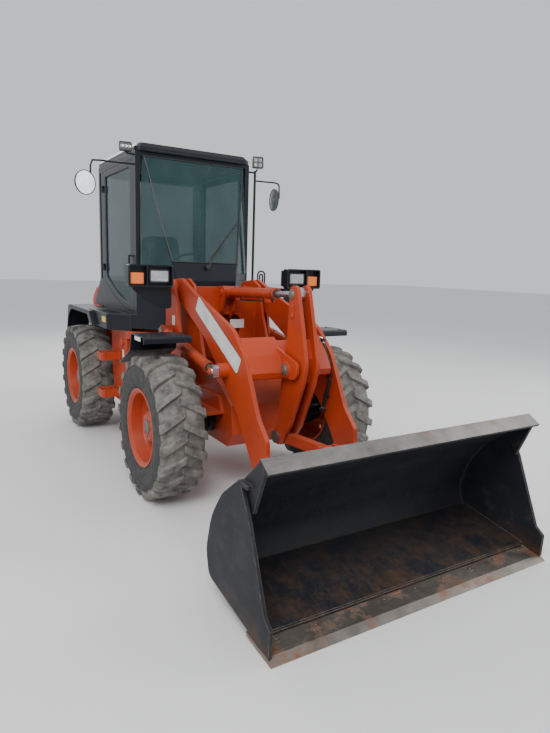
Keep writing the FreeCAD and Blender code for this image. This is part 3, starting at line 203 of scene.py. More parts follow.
def bucket_paint(name):
    """Dark blue-black paint, scuffed along the load's way, with rust low down and at the edges."""
    n = Nodes(name)
    soft, edge = n.edges(0.008)
    tone = n.mix(n.ramp(n.noise(1.6, 7), 0.35, 0.7), rgba(0.012, 0.014, 0.019), rgba(0.024, 0.026, 0.031))
    streak = n.noise(14, 9, 0.75, n.scale(3.0, 0.5, 0.5))
    tone = n.mix(n.math("MULTIPLY", n.ramp(streak, 0.55, 0.75), 0.45), tone, rgba(0.085, 0.085, 0.09))
    low = n.math("MULTIPLY", n.ramp(n.height(), 0.22, 0.03), n.ramp(n.noise(7, 9, 0.75), 0.42, 0.62))
    tone = n.mix(n.math("MULTIPLY", low, 0.8), tone, rgba(0.105, 0.056, 0.026))
    tone = n.mix(n.math("MULTIPLY", edge, n.ramp(n.noise(18, 7), 0.3, 0.6)), tone, rgba(0.19, 0.155, 0.12))
    n.link(tone, "Base Color")
    n.link(n.ramp(streak, -0.5, 1.2), "Roughness")
    n.link(0.20, "Metallic")
    n.link(0.30, "Specular IOR Level")
    n.bump(n.noise(26, 8, 0.7), 0.18, 0.003, soft)
    return n.mat


def rubber(name, colour, dirt, dust, scale=14.0):
    n = Nodes(name)
    cake = n.math("MULTIPLY", n.ramp(n.noise(scale, 10, 0.7), 0.30, 0.62), dust)
    n.link(n.mix(cake, colour, dirt), "Base Color")
    n.link(n.ramp(n.noise(50, 4), -1.2, 1.0), "Roughness")
    n.bump(n.noise(85, 8, 0.7), 0.35, 0.003)
    return n.mat


def plastic(name, colour, rough=0.45):
    n = Nodes(name)
    pale = rgba(*(min(1, c * 1.5 + 0.01) for c in colour[:3]))
    n.link(n.mix(n.ramp(n.noise(7, 6), 0.3, 0.8), colour, pale), "Base Color")
    n.link(n.math("ADD", n.math("MULTIPLY", n.noise(60, 4), 0.25), rough - 0.1), "Roughness")
    n.bump(n.noise(420, 2), 0.12, 0.0008)
    return n.mat


def glass(name, tint, alpha):
    n = Nodes(name)
    smear = n.ramp(n.noise(3.0, 7, 0.65, n.scale(1, 1, 0.35)), 0.4, 0.8)
    pale = rgba(*(min(1, c * 1.25 + 0.03) for c in tint[:3]))
    n.link(n.mix(smear, tint, pale), "Base Color")
    n.link(n.math("ADD", n.math("MULTIPLY", smear, 0.08), 0.03), "Roughness")
    n.link(n.math("ADD", n.math("MULTIPLY", smear, 0.10), alpha), "Alpha")
    n.link(0.0, "Metallic")
    return n.mat


def cloth(name, colour):
    n = Nodes(name)
    wave = n.node("ShaderNodeTexWave", {"Vector": n.coords, "Scale": 140.0, "Distortion": 1.5})
    pale = rgba(*(c * 1.9 for c in colour[:3]))
    n.link(n.mix(n.ramp(n.noise(30, 5), 0.3, 0.8), colour, pale), "Base Color")
    n.link(0.9, "Roughness")
    n.link(0.3, "Sheen Weight")
    n.bump(wave.outputs["Fac"], 0.3, 0.001)
    return n.mat


def lens(name, colour):
    """A coloured lamp cover with upright ribs."""
    n = Nodes(name)
    wave = n.node("ShaderNodeTexWave", {"Vector": n.coords, "Scale": 22.0}, bands_direction="X")
    ribs = wave.outputs["Fac"]
    pale = rgba(*(min(1, c * 1.3 + 0.02) for c in colour[:3]))
    n.link(n.mix(n.ramp(ribs, 0.2, 0.9), colour, pale), "Base Color")
    n.link(0.12, "Roughness")
    n.link(0.6, "Coat Weight")
    n.bump(ribs, 0.3, 0.002)
    return n.mat


MATS = {
    "orange_paint": painted("orange_paint", rgba(0.46, 0.046, 0.010), rgba(0.33, 0.033, 0.009),
                            rgba(0.62, 0.17, 0.075), dust=0.10),
    "dark_paint": painted("dark_paint", rgba(0.010, 0.013, 0.019), rgba(0.007, 0.009, 0.013),
                          rgba(0.06, 0.067, 0.08), dust=0.05, rough=0.30, sheen=0.30),
    "bucket_steel": bucket_paint("bucket_steel"),
    "lip_steel": steel("lip_steel", rgba(0.26, 0.25, 0.24), 0.5, rust=0.12, scratch=0.6),
    "bright_steel": steel("bright_steel", rgba(0.70, 0.70, 0.72), 0.22, scratch=0.2),
    "edge_steel": steel("edge_steel", rgba(0.28, 0.25, 0.22), 0.5, rust=0.42),
    "tyre_rubber": rubber("tyre_rubber", rgba(0.012, 0.012, 0.013), rgba(0.085, 0.080, 0.074), dust=0.6),
    "tinted_glass": glass("tinted_glass", rgba(0.012, 0.050, 0.054), 0.52),
    "tyre_lug": rubber("tyre_lug", rgba(0.030, 0.029, 0.028), rgba(0.22, 0.21, 0.19), dust=0.95, scale=9.0),
    "black_plastic": plastic("black_plastic", rgba(0.018, 0.018, 0.020)),
    "seat_cloth": cloth("seat_cloth", rgba(0.030, 0.030, 0.034)),
    "lamp_lens": lens("lamp_lens", rgba(0.62, 0.66, 0.68)),
    "amber_lens": lens("amber_lens", rgba(0.80, 0.16, 0.012)),
    "red_lens": lens("red_lens", rgba(0.42, 0.012, 0.010)),
    "engine_iron": steel("engine_iron", rgba(0.10, 0.10, 0.10), 0.6, rust=0.3),
    "hose_rubber": plastic("hose_rubber", rgba(0.014, 0.014, 0.015), 0.5),
    "chrome": steel("chrome", rgba(0.82, 0.82, 0.84), 0.16, scratch=0.05),
    "mirror": steel("mirror", rgba(0.55, 0.58, 0.60), 0.14, scratch=0.03),
    "dark_steel": steel("dark_steel", rgba(0.11, 0.11, 0.115), 0.5, rust=0.12),
    "clear_lens": glass("clear_lens", rgba(0.55, 0.60, 0.62), 0.04),
    "label_white": plastic("label_white", rgba(0.55, 0.55, 0.53), 0.4),
    "label_yellow": plastic("label_yellow", rgba(0.60, 0.42, 0.03), 0.4),
    "grit": rubber("grit", rgba(0.018, 0.018, 0.018), rgba(0.10, 0.10, 0.10), dust=0.5, scale=60.0),
}


# Pieces, drawn in millimetres from the drawing datum

def at(x, y, z):
    return Vector((x, y, z)) * 0.001 + SHIFT


def plane(origin, across, upward):
    """A place function (u, v, h) on a plane through origin; h stands out of it."""
    o, a, b = Vector(origin), Vector(across).normalized(), Vector(upward).normalized()
    out = a.cross(b)
    return lambda u, v, h: o + a * u + b * v + out * h


# Straight steps in a rounded corner of a route.
CORNER_STEPS = 6


def outline(w, h, r, steps=5):
    """A rounded rectangle about zero, w wide and h high, counter-clockwise."""
    points = []
    for k, (sx, sy) in enumerate(((1, -1), (1, 1), (-1, 1), (-1, -1))):
        for i in range(steps + 1):
            angle = math.radians(-90 + 90 * k + 90 * i / steps)
            points.append((sx * (w / 2 - r) + r * math.cos(angle), sy * (h / 2 - r) + r * math.sin(angle)))
    return points


def ring_points(radius, count, turn=0.0):
    angles = [turn + 2 * math.pi * i / count for i in range(count)]
    return [(radius * math.cos(a), radius * math.sin(a)) for a in angles]


class Piece:
    """A mesh that is put together from lofts and then rides a body."""

    def __init__(self):
        self.bm = bmesh.new()

    def loft(self, rings, closed=False):
        """Faces from ring to ring, with a cap at each end or joined into a hoop."""
        rows = [[self.bm.verts.new(at(*p)) for p in ring] for ring in rings]
        count = len(rows[0])
        pairs = list(zip(rows, rows[1:])) + ([(rows[-1], rows[0])] if closed else [])
        for a, b in pairs:
            for i in range(count):
                j = (i + 1) % count
                self.bm.faces.new((a[i], a[j], b[j], b[i]))
        if not closed:
            self.bm.faces.new(rows[0][::-1])
            self.bm.faces.new(rows[-1])

    def slab(self, place, points, thick, chamfer, base=0.0):
        """A plate with its upper edge chamfered, standing on a plane."""
        cu = sum(p[0] for p in points) / len(points)
        cv = sum(p[1] for p in points) / len(points)
        inset = []
        for u, v in points:
            reach = math.hypot(cu - u, cv - v) or 1.0
            inset.append((u + (cu - u) * chamfer / reach, v + (cv - v) * chamfer / reach))
        self.loft([[place(u, v, base) for u, v in points],
                   [place(u, v, base + thick - chamfer) for u, v in points],
                   [place(u, v, base + thick) for u, v in inset]])

    def turned(self, place, profile, steps):
        """(height, radius) pairs turned about the plane's normal."""
        self.loft([[place(u, v, h) for u, v in ring_points(max(r, 0.05), steps)] for h, r in profile])

    def bolt(self, place, size, u, v, base):
        """A washer and a hexagon head."""
        for count, low, high, radius in ((16, 0.0, 0.18, 1.25), (6, 0.18, 0.85, 1.0)):
            points = [(u + a, v + b) for a, b in ring_points(size * radius, count, 0.3)]
            self.slab(place, points, size * (high - low), size * 0.12, base + size * low)

    def tube(self, route, radius, sides, closed=False):
        """A round bar along a route, with its section carried from point to point without twist."""
        route = [Vector(p) for p in route]
        rings = []
        side = None
        for i, here in enumerate(route):
            before = route[i - 1] if i or closed else here
            after = route[(i + 1) % len(route)] if i + 1 < len(route) or closed else here
            way = (after - before).normalized()
            if side is None:
                side = way.cross(Vector((0, 0, 1)))
                if side.length < 0.1:
                    side = way.cross(Vector((1, 0, 0)))
            side = (side - way * side.dot(way)).normalized()
            up = way.cross(side)
            rings.append([here + side * a + up * b for a, b in ring_points(radius, sides)])
        self.loft(rings, closed=closed)

    def done(self, name, body, mat, slot=None, replaces=(), crease=32):
        bmesh.ops.remove_doubles(self.bm, verts=self.bm.verts, dist=1e-6)
        bmesh.ops.recalc_face_normals(self.bm, faces=self.bm.faces)
        mesh = bpy.data.meshes.new(name)
        self.bm.to_mesh(mesh)
        self.bm.free()
        for face in mesh.polygons:
            face.use_smooth = True
        mesh.set_sharp_from_angle(angle=math.radians(crease))
        mesh.materials.append(MATS[mat])
        obj = bpy.data.objects.new(name, mesh)
        bpy.context.scene.collection.objects.link(obj)
        if replaces:
            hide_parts(*replaces)
        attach(obj, body)


def rounded_route(points, bend):
    """A route with its inner corners rounded."""
    points = [Vector(p) for p in points]
    route = [points[0]]
    for before, here, after in zip(points, points[1:], points[2:]):
        a = here + (before - here).normalized() * bend
        b = here + (after - here).normalized() * bend
        for i in range(CORNER_STEPS + 1):
            t = i / CORNER_STEPS
            route.append(a * (1 - t) ** 2 + here * 2 * t * (1 - t) + b * t * t)
    return route + [points[-1]]


def loop_route(points, bend):
    """A route around points with rounded corners, that stops one bend short of its start."""
    return rounded_route(points + points[:2], bend)[:-(CORNER_STEPS + 1)]


def out_of(side):
    """The plane directions on a face that looks to the left (+1) or the right (-1) side."""
    return ((0, side, 0), (0, 0, 1))


# Wheels

TYRE_SECTION = ((166, 321), (168, 338), (176, 352), (183, 368), (188, 371), (190, 378), (193, 410),
                (197, 450), (198, 480), (195, 520), (190, 548), (176, 572), (148, 588), (110, 597),
                (60, 601), (0, 603))
TYRE_STEPS = 120
LUGS_A_SIDE = 20
LUG_TURN_RADIUS = 620.0
# The width of tread over which a lug's lean is measured.
LUG_RUN = 209.0
# Stations along a lug: how far out on x, radius of its top and radius of its base.
LUG_STATIONS = ((-14, 618, 592), (-6, 627, 592), (60, 629, 592), (130, 626, 590), (172, 621, 578),
                (190, 613, 556), (196, 600, 546))


def wheel(body, side, y):
    x0 = side * HALF_TRACK

    def spot(x, r, angle):
        return (x0 + side * x, y + r * math.sin(angle), AXLE_Z + r * math.cos(angle))

    tyre, lugs = Piece(), Piece()
    section = list(TYRE_SECTION) + [(-x, r) for x, r in TYRE_SECTION[-2::-1]]
    # The worn band between the lugs, just proud of the carcass.
    crown = [(x, r + 1.5) for x, r in section if r >= 548]
    crown += [(-150, 560), (150, 560)]
    angles = [2 * math.pi * k / TYRE_STEPS for k in range(TYRE_STEPS)]
    for piece, line in ((tyre, section), (lugs, crown)):
        piece.loft([[spot(x, r, angle) for x, r in line] for angle in angles], closed=True)
    step = 2 * math.pi / LUGS_A_SIDE
    for i in range(LUGS_A_SIDE):
        for flank, turn in ((1, i * step), (-1, (i + 0.5) * step)):
            rings = []
            for x, top, base in LUG_STATIONS:
                # Along the tread, a lug's middle runs from 56 to -54 while it grows a little wider.
                share = (x - LUG_STATIONS[0][0]) / LUG_RUN
                middle, half = 56 - 110 * share, 31 + 5 * share
                shape = ((-half - 7, base), (-half, top - 9), (-half + 6, top), (half - 6, top),
                         (half, top - 9), (half + 7, base))
                rings.append([spot(flank * x, r, turn + (middle + t) / LUG_TURN_RADIUS) for t, r in shape])
            lugs.loft(rings)
    name = body.replace("wheel_", "")
    tyre.done("tyre_%s_carcass" % name, body, "tyre_rubber", "tyre_rubber", ("tyre_" + name,), crease=28)
    lugs.done("tyre_%s_lugs" % name, body, "tyre_lug", "tyre_rubber", crease=28)

    face = plane((x0, y, AXLE_Z), *out_of(side))
    # Ten wheel nuts on their studs, eight hub bolts and the hub's cap.
    trim = Piece()
    for u, v in ring_points(168, 10, math.pi / 10):
        trim.bolt(face, 17, v, u, 48)
        stud = (lambda a, b, h, u=u, v=v: face(a + v, b + u, h))
        trim.turned(stud, ((60, 9), (74, 9), (78, 6), (78, 0)), 12)
    for u, v in ring_points(86, 8):
        trim.bolt(face, 8, u, v, 112)
    trim.turned(face, ((112, 62), (118, 62), (124, 52), (126, 20), (126, 0)), 40)
    trim.done("wheel_nuts_" + name, body, "edge_steel", "edge_steel")
    # The valve's bent stem, and the cap on its end.
    valve = Piece()
    angle = 0.9 if side < 0 else 2.1

    def stem(*stations):
        return [face(r * math.cos(angle), r * math.sin(angle), h) for r, h in stations]

    valve.tube(rounded_route(stem((292, 40), (286, 66), (270, 84), (246, 92)), 8), 5, 8)
    valve.tube(stem((252, 89), (232, 96)), 7.5, 6)
    valve.done("valve_" + name, body, "edge_steel", "edge_steel")
    bead = Piece()
    for r, h, radius in ((341, 178, 4.5), (306, 158, 3)):
        bead.tube([face(u, v, h) for u, v in ring_points(r, 72)], radius, 8, closed=True)
    bead.done("rim_edge_" + name, body, "orange_paint", "orange_paint")


def wheels():
    for end, y in (("front", FRONT_AXLE_Y), ("rear", REAR_AXLE_Y)):
        for name, side in (("left", 1), ("right", -1)):
            wheel("wheel_%s_%s" % (end, name), side, y)


# Pins and hydraulics

def pin_caps():
    # Body, (x, y, z) of the outer face on the left and cap radius.
    table = (("front_chassis", (505, -560, 1800), 56), ("front_chassis", (606, -620, 1390), 40),
             ("bucket_hinge_pins", (504, -2640, 410), 50), ("boom", (122, -2148, 1228), 50),
             ("lift_ram_rods", (598, -1746, 1177), 32), ("crank", (68, -2135, 1832), 40))
    made = {}
    for body, (x, y, z), radius, side in [row + (side,) for row in table for side in (1, -1)]:
        piece = made.setdefault(body, Piece())
        face = plane((side * x, y, z), *out_of(side))
        piece.turned(face, ((-2, radius), (6, radius), (9, radius - 3), (9, radius * 0.72),
                            (15, radius * 0.66), (17, radius * 0.55), (17, 5), (22, 5), (24, 3),
                            (24, 0)), 36)
        if body in ("front_chassis", "bucket_hinge_pins", "crank"):
            spots = ring_points(radius - 8, 3, 0.6) if body != "crank" else ((0, 26), (0, -26))
            for u, v in spots:
                piece.bolt(face, 8, u, v, 6)
    for body, piece in made.items():
        mat = "orange_paint" if body == "lift_ram_rods" else "edge_steel"
        piece.done("pin_caps_" + body, body, mat, mat)
    keeper = Piece()
    for side in (1, -1):
        face = plane((side * 68, -2158, 1700), *out_of(side))
        keeper.slab(face, outline(34, 118, 10), 10, 2)
        keeper.bolt(face, 11, 0, 36, 10)
        keeper.bolt(face, 11, 0, -36, 10)
    keeper.done("crank_keepers", "crank", "orange_paint", "orange_paint")


def ram_lines():
    # Each barrel's pipe runs under it. Name, body, base and eye as (y, z), x places, height off the middle,
    # span, end of the gland and barrel radius.
    table = (("tilt", "tilt_ram_barrel", (-886, 1784), (-2135, 1832), (0,), -66, (250, 850), 905, 47),
             ("lift", "lift_ram_barrels", (-620, 1390), (-1746, 1177), (-562, 562), -64, (150, 960),
              1056, 46))
    for name, body, base, eye, xs, off, span, end, barrel in table:
        length = math.dist(base, eye)
        dy, dz = (eye[0] - base[0]) / length, (eye[1] - base[1]) / length
        near = off + 24
        pipes, clips, seals = Piece(), Piece(), Piece()
        for x in xs:
            def spot(d, h, x=x):
                return (x, base[0] + dy * d + dz * h, base[1] + dz * d - dy * h)
            pipes.tube(rounded_route([spot(span[0], near), spot(span[0], off), spot(span[1], off),
                                      spot(span[1], near)], 18), 8, 10)
            for d in (span[0] + 90, (span[0] + span[1]) / 2, span[1] - 90):
                clips.tube([spot(d - 9, 0), spot(d + 9, 0)], barrel + 3, 32)
                clips.tube([spot(d, near - 4), spot(d, off - 12)], 7, 6)
            for d in span:
                clips.tube([spot(d, near - 6), spot(d, near + 10)], 15, 6)
            seals.tube([spot(end, 0), spot(end + 7, 0)], barrel - 8, 32)
            seals.tube([spot(end - 30, 0), spot(end - 22, 0)], barrel + 4.6, 32)
            if name == "tilt":
                # Fitting block under the gland, with two bolts.
                block = plane(spot(790, -45), (0, dy, dz), (-1, 0, 0))
                clips.slab(block, outline(86, 62, 8), 34, 4)
                for u in (-26, 26):
                    clips.bolt(block, 9, u, 0, 34)
        paint = "orange_paint" if name == "lift" else "black_plastic"
        pipes.done(name + "_pipes", body, paint, paint)
        clips.done(name + "_clips", body, "orange_paint", "orange_paint")
        seals.done(name + "_seals", body, "black_plastic", "black_plastic")


def hose_fittings():
    # Hexagon nuts and collars on the ends of the arm's hoses, one hose 26 mm behind the other.
    ends = Piece()
    for back in (0, 26):
        ends.tube([(389, -1968 + back, 1398), (389, -1952 + back, 1421)], 13, 6)
        ends.tube([(389, -1950 + back, 1424), (389, -1936 + back, 1446)], 9, 12)
        ends.tube([(389, -2017 + back, 836), (389, -2008 + back, 812)], 13, 6)
    ends.done("boom_fittings", "boom", "bright_steel", "bright_steel")
    # The same on the four feet of the hose arches behind the tower.
    feet = Piece()
    for x in (532, 620, 558, 594):
        feet.tube([(x, -519, 1820), (x, -519, 1840)], 12.5, 6)
        feet.tube([(x, -519, 1840), (x, -519, 1856)], 10.5, 16)
    feet.done("tower_fittings", "front_chassis", "bright_steel", "bright_steel")


# Lamps

def lamp_face(name, body, place, width, height, mat, leds, depth):
    """A clear or coloured cover, and bright bowls behind it where it has small lights."""
    cover = Piece()
    cover.slab(place, outline(width, height, 9), depth, 3)
    cover.done(name + "_cover", body, mat, mat if mat != "clear_lens" else "lamp_lens")
    if leds:
        bowls = Piece()
        for u, v, r in leds:
            here = (lambda a, b, h, u=u, v=v: place(a + u, b + v, h))
            bowls.turned(here, ((-1, r + 3), (1.6, r + 3), (1.6, r), (-0.5, r * 0.55), (-0.5, r * 0.3),
                                (1.8, r * 0.26), (2.6, r * 0.12), (2.6, 0)), 28)
        bowls.done(name + "_bowls", body, "chrome", "bright_steel")


def lamp_housing(piece, place, width, height, rim, depth, recess):
    """An open box with rounded corners: its rim is at h = 0 and its floor recess below it."""
    outer, inner = outline(width, height, 14), outline(width - 2 * rim, height - 2 * rim, 8)
    piece.loft([[place(u, v, h) for u, v in points] for points, h in
                ((inner, -recess), (inner, -1.5), (inner, 0), (outer, 0), (outer, -3), (outer, -depth))])


def lamps():
    shells = Piece()
    for side, word in ((1, "left"), (-1, "right")):
        face = plane((side * 745, -972, 1930), (1, 0, 0), (0, 0, 1))
        lamp_housing(shells, face, 186, 116, 12, 46, 6)
        bowl = Piece()
        # A squared bright reflector with a bulb in the middle.
        bowl.loft([[face(u, v, h) for u, v in outline(w, k, r)] for w, k, r, h in
                   ((162, 92, 8, -0.6), (156, 86, 10, -1.2), (120, 60, 18, -3.6), (64, 40, 16, -4.8),
                    (30, 30, 14, -5.2))])
        bowl.turned(face, ((-5, 13), (-2.5, 12), (-1.2, 8), (-1, 0)), 24)
        for u in (-62, -31, 31, 62):
            bowl.slab(lambda a, b, h, u=u: face(a + u, b, h), outline(3, 78, 1.4, 2), 1.8, 0.5, -3.2)
        bowl.done("head_lamp_bowl_" + word, "front_chassis", "chrome", "bright_steel")
        lamp_face("head_lamp_" + word, "front_chassis", face, 162, 92, "clear_lens", None, 5)
        face = plane((side * 948, -960, 1907), (1, 0, 0), (0, 0, 1))
        lamp_face("turn_lamp_" + word, "front_chassis", face, 112, 92, "amber_lens", None, 6)
        back = plane((side * 652.5, 2288, 925), (-1, 0, 0), (0, 0, 1))
        lamp_face("tail_lamp_" + word, "chassis", back, 168, 84, "red_lens", None, 5)
    shells.done("head_lamp_shells", "front_chassis", "black_plastic", "lamp_lens", ("head_lamps",))
    shells = Piece()
    # Work lamps as name, (x, y, z), (width, height), turn and tilt in degrees.
    for name, spot, (w, h), turn, tilt in (
            ("pole", (767, -42, 3212), (126, 128), -15, 4),
            ("roof", (-750, -10, 3196), (126, 92), -10, 14),
            ("rear_right", (-500, 1492, 3130), (126, 92), 180, 14),
            ("rear_left", (500, 1492, 3130), (126, 92), 180, 14)):
        turned = Matrix.Rotation(math.radians(turn), 3, "Z") @ Matrix.Rotation(math.radians(-tilt), 3, "X")
        origin = Vector(spot) + turned @ Vector((0, -14, 0))
        face = plane(origin, turned @ Vector((1, 0, 0)), turned @ Vector((0, 0, 1)))
        lamp_housing(shells, face, w, h, 9, 30, 4)
        for row in (-0.6, -0.2, 0.2, 0.6):
            fin = (lambda u, v, k, row=row, h=h: face(u, v + row * h / 2, -k))
            shells.slab(fin, outline(w - 16, 4, 1.6, 2), 19, 0.6, 29)
        # A square lamp has four small lights, a flat one three in a row.
        square = h > 100
        columns, rows = ((-0.21, 0.21), (-0.21, 0.21)) if square else ((-0.28, 0, 0.28), (0.0,))
        leds = [(u * w, v * h, 16 if square else 14) for u in columns for v in rows]
        inside = (lambda u, v, k: face(u, v, k - 3.6))
        lamp_face("work_lamp_" + name, "chassis", inside, w - 20, h - 20, "clear_lens", leds, 4)
    shells.done("work_lamp_shells", "chassis", "black_plastic", "black_plastic", ("work_lamps",))


# Cab

# Foot and head of the front screen, as (z, half width, y).
SCREEN_FOOT, SCREEN_HEAD = (1880, 337, -377), (3128, 572, -36)


def screen_edge(z):
    """Half width and y of the front screen at a height."""
    share = (z - SCREEN_FOOT[0]) / (SCREEN_HEAD[0] - SCREEN_FOOT[0])
    return tuple(a + share * (b - a) for a, b in zip(SCREEN_FOOT[1:], SCREEN_HEAD[1:]))


def cab_trim():
    seals = Piece()
    low, high = 2066, 3124
    (h0, y0), (h1, y1) = screen_edge(low), screen_edge(high)
    seals.tube(rounded_route([(0, y0 - 3, low), (h0, y0 - 3, low), (h1, y1 - 3, high), (0, y1 - 3, high),
                              (-h1, y1 - 3, high), (-h0, y0 - 3, low), (0, y0 - 3, low)], 14), 7, 8)
    seals.done("screen_seal", "chassis", "black_plastic", "black_plastic")
    # Opening of the door's window as (y, z), after the door's own frame.
    light = [(159, 1606), (380, 1611), (620, 1668), (820, 1742), (1130, 1878), (1130, 3039), (159, 3039)]
    for side, word in ((1, "left"), (-1, "right")):
        seal = Piece()
        route = [(side * 651, y, z) for y, z in light]
        seal.tube(loop_route(route, 30), 8, 8)
        seal.done("door_seal_" + word, "door_%s_body" % word, "black_plastic", "black_plastic")
    rear = Piece()
    route = [(-600, 1402, 1868), (600, 1402, 1868), (600, 1402, 3072), (-600, 1402, 3072)]
    rear.tube(loop_route(route, 30), 8, 8)
    rear.done("rear_window_seal", "chassis", "black_plastic", "black_plastic")


def mirror_glass():
    for word, centre, radius, turn in (("right", (-1165, -62, 2800), 118, 23),
                                       ("left", (985, -52, 2818), 125, -98)):
        turned = Matrix.Rotation(math.radians(turn), 3, "Z")
        face = plane(centre, turned @ Vector((1, 0, 0)), turned @ Vector((0, 0, 1)))
        glass_disc = Piece()
        glass_disc.turned(face, ((0.2, radius - 9), (1.2, radius - 9), (2.2, radius * 0.6),
                                 (2.6, radius * 0.3), (2.7, 0)), 56)
        glass_disc.done("mirror_glass_" + word, "chassis", "mirror", "bright_steel")


def wiper_blade():
    blade = Piece()
    # The blade stands 7 mm before the screen.
    low, high = [Vector((x, screen_edge(z)[1] - 7, z)) for x, z in ((70, 2119), (432, 2512))]
    way = (high - low).normalized()
    blade.tube([low, high], 6, 6)
    for share in (0.15, 0.38, 0.62, 0.85):
        spot = low.lerp(high, share) + Vector((0, -6, 0))
        blade.tube([spot - way * 16, spot + way * 16], 8, 6)
    blade.done("wiper_blade", "chassis", "black_plastic", "black_plastic")


def pad(name, centre, size, lean, crown, seams):
    """A stuffed pad: a rounded block with a crowned face and a piping round its seam."""
    bm = bmesh.new()
    bmesh.ops.create_cube(bm, size=2.0)
    bmesh.ops.subdivide_edges(bm, edges=bm.edges, cuts=14, use_grid_fill=True)
    turn = Matrix.Rotation(math.radians(lean), 3, "X")
    for v in bm.verts:
        # A power of 7 gives a block with soft edges.
        x, y, z = v.co
        norm = (abs(x) ** 7 + abs(y) ** 7 + abs(z) ** 7) ** (1 / 7)
        x, y, z = x / norm, y / norm, z / norm
        lift = 1 + crown * (1 - x * x) * (1 - y * y)
        groove = sum(0.10 * math.exp(-((y - s) / 0.05) ** 2) for s in seams)
        groove += 0.09 * math.exp(-((abs(x) - 0.62) / 0.05) ** 2)
        z = z * (lift - groove) if z > 0 else z
        spot = turn @ Vector((x * size[0] / 2, y * size[1] / 2, z * size[2] / 2)) + Vector(centre)
        v.co = at(*spot)
    mesh = bpy.data.meshes.new(name)
    bm.to_mesh(mesh)
    bm.free()
    for face in mesh.polygons:
        face.use_smooth = True
    mesh.materials.append(MATS["seat_cloth"])
    obj = bpy.data.objects.new(name, mesh)
    bpy.context.scene.collection.objects.link(obj)
    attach(obj, "chassis")
    return obj


def seat():
    cushion = pad("seat_cushion", (0, 738, 1700), (490, 520, 100), 2, 0.16, (-0.35, 0.3))
    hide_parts("seat")
    pad("seat_back", (0, 1022, 2068), (470, 620, 125), 83, 0.14, (-0.5, 0.0, 0.45))
    base = Piece()
    face = plane((0, 630, 1375), (1, 0, 0), (0, 0, 1))
    # A waisted foot, the rings of its bellows and a rail under each side of the cushion.
    profile = [(-150, 0), (150, 0), (122, 100), (120, 130), (150, 240), (170, 272), (-170, 272),
               (-150, 240), (-120, 130), (-122, 100)]
    base.loft([[face(u, v, -h) for u, v in profile] for h in (0, 40, 280, 320)])
    for z in (1420, 1450, 1480, 1510, 1540, 1570):
        ring = [(u, 790 + v, z) for u, v in outline(300, 290, 40)]
        base.tube(ring, 9, 8, closed=True)
    for x in (-215, 215):
        base.tube(rounded_route([(x, 520, 1640), (x, 960, 1640), (x, 1000, 1760)], 40), 10, 8)
    base.done("seat_base", "chassis", "black_plastic", "black_plastic")


def cab_inside():
    inside = Piece()
    # Floor mat with ribs.
    face = plane((0, 620, 1374.5), (1, 0, 0), (0, 1, 0))
    inside.slab(face, outline(1160, 1020, 60), 6, 2)
    for k in range(11):
        here = (lambda u, v, h, k=k: face(u, v - 470 + k * 44, h))
        inside.slab(here, outline(1080, 14, 5, 2), 4, 1, 6)
    # Pedals on their stalks.
    for x in (-110, 120):
        pedal = plane((x, 60, 1440), (1, 0, 0), (0, 0.7, 0.7))
        inside.slab(pedal, outline(76, 120, 14), 12, 3)
        inside.tube([(x, 80, 1430), (x, 110, 1378)], 10, 8)
    # Right arm rest with its lever, and the monitor on the right post.
    inside.tube(rounded_route([(-330, 900, 1380), (-330, 900, 1760), (-330, 860, 1800)], 30), 26, 12)
    rest = plane((-330, 740, 1810), (1, 0, 0), (0, 1, 0))
    inside.slab(rest, outline(110, 330, 40), 46, 10)
    lever = (lambda u, v, h: rest(u, v - 120, h))
    inside.turned(lever, ((44, 30), (52, 26), (60, 14), (96, 11), (104, 20), (124, 24), (160, 20),
                          (176, 13), (180, 0)), 20)
    inside.tube([(-585, 20, 2150), (-480, 60, 2180)], 9, 8)
    monitor = plane((-440, 70, 2190), (0.85, 0.5, 0), (0, 0, 1))
    inside.slab(monitor, outline(210, 140, 14), 26, 5)
    inside.done("cab_fittings", "chassis", "black_plastic", "black_plastic")
    # Roof lining with two air vents.
    lining = Piece()
    roof = plane((0, 680, 3166), (1, 0, 0), (0, -1, 0))
    lining.slab(roof, outline(1190, 1340, 60), 26, 12)
    for x in (-330, 330):
        vent = plane((x, 60, 3140), (1, 0, 0), (0, -1, 0))
        lining.slab(vent, outline(220, 90, 20), 10, 4)
    lining.done("cab_lining", "chassis", "seat_cloth", "seat_cloth")


# Decals stay blank

def labels():
    # Body, plane origin, across, upward, width, height, corner and material.
    right = out_of(-1)
    table = (
        ("boom_label", "boom", (-442.6, -1545, 1470), ((0, -0.879, -0.477), (0, -0.477, 0.879)),
         960, 150, 22, "label_white"),
        ("cross_label", "front_chassis", (137, -812.4, 1464), ((1, 0, 0), (0, 0, 1)), 160, 88, 4,
         "label_white"),
        ("tower_label", "front_chassis", (-505.6, -700, 1500), right, 70, 96, 6, "label_white"),
        ("fender_label", "front_chassis", (-1060.6, -1300, 1412), right, 150, 34, 3, "label_white"),
        ("deck_label", "chassis", (-900.6, 380, 1420), right, 150, 60, 4, "label_yellow"),
        ("tank_label", "chassis", (-740.6, 200, 1050), right, 60, 90, 4, "label_white"),
        ("rear_plate", "chassis", (0, 2286, 1150), ((-1, 0, 0), (0, 0, 1)), 300, 70, 4, "label_white"),
    )
    for name, body, origin, (across, upward), w, h, r, mat in table:
        if name == "boom_label":
            # A black edge 5 mm wide shows around it.
            border = Piece()
            border.slab(plane(origin, across, upward), outline(w + 10, h + 10, r + 5, 4), 0.5, 0.2, -0.2)
            border.done(name + "_border", body, "black_plastic")
        sticker = Piece()
        sticker.slab(plane(origin, across, upward), outline(w, h, r, 4), 0.9, 0.3, -0.2)
        sticker.done(name, body, mat)


# Frames and body panels

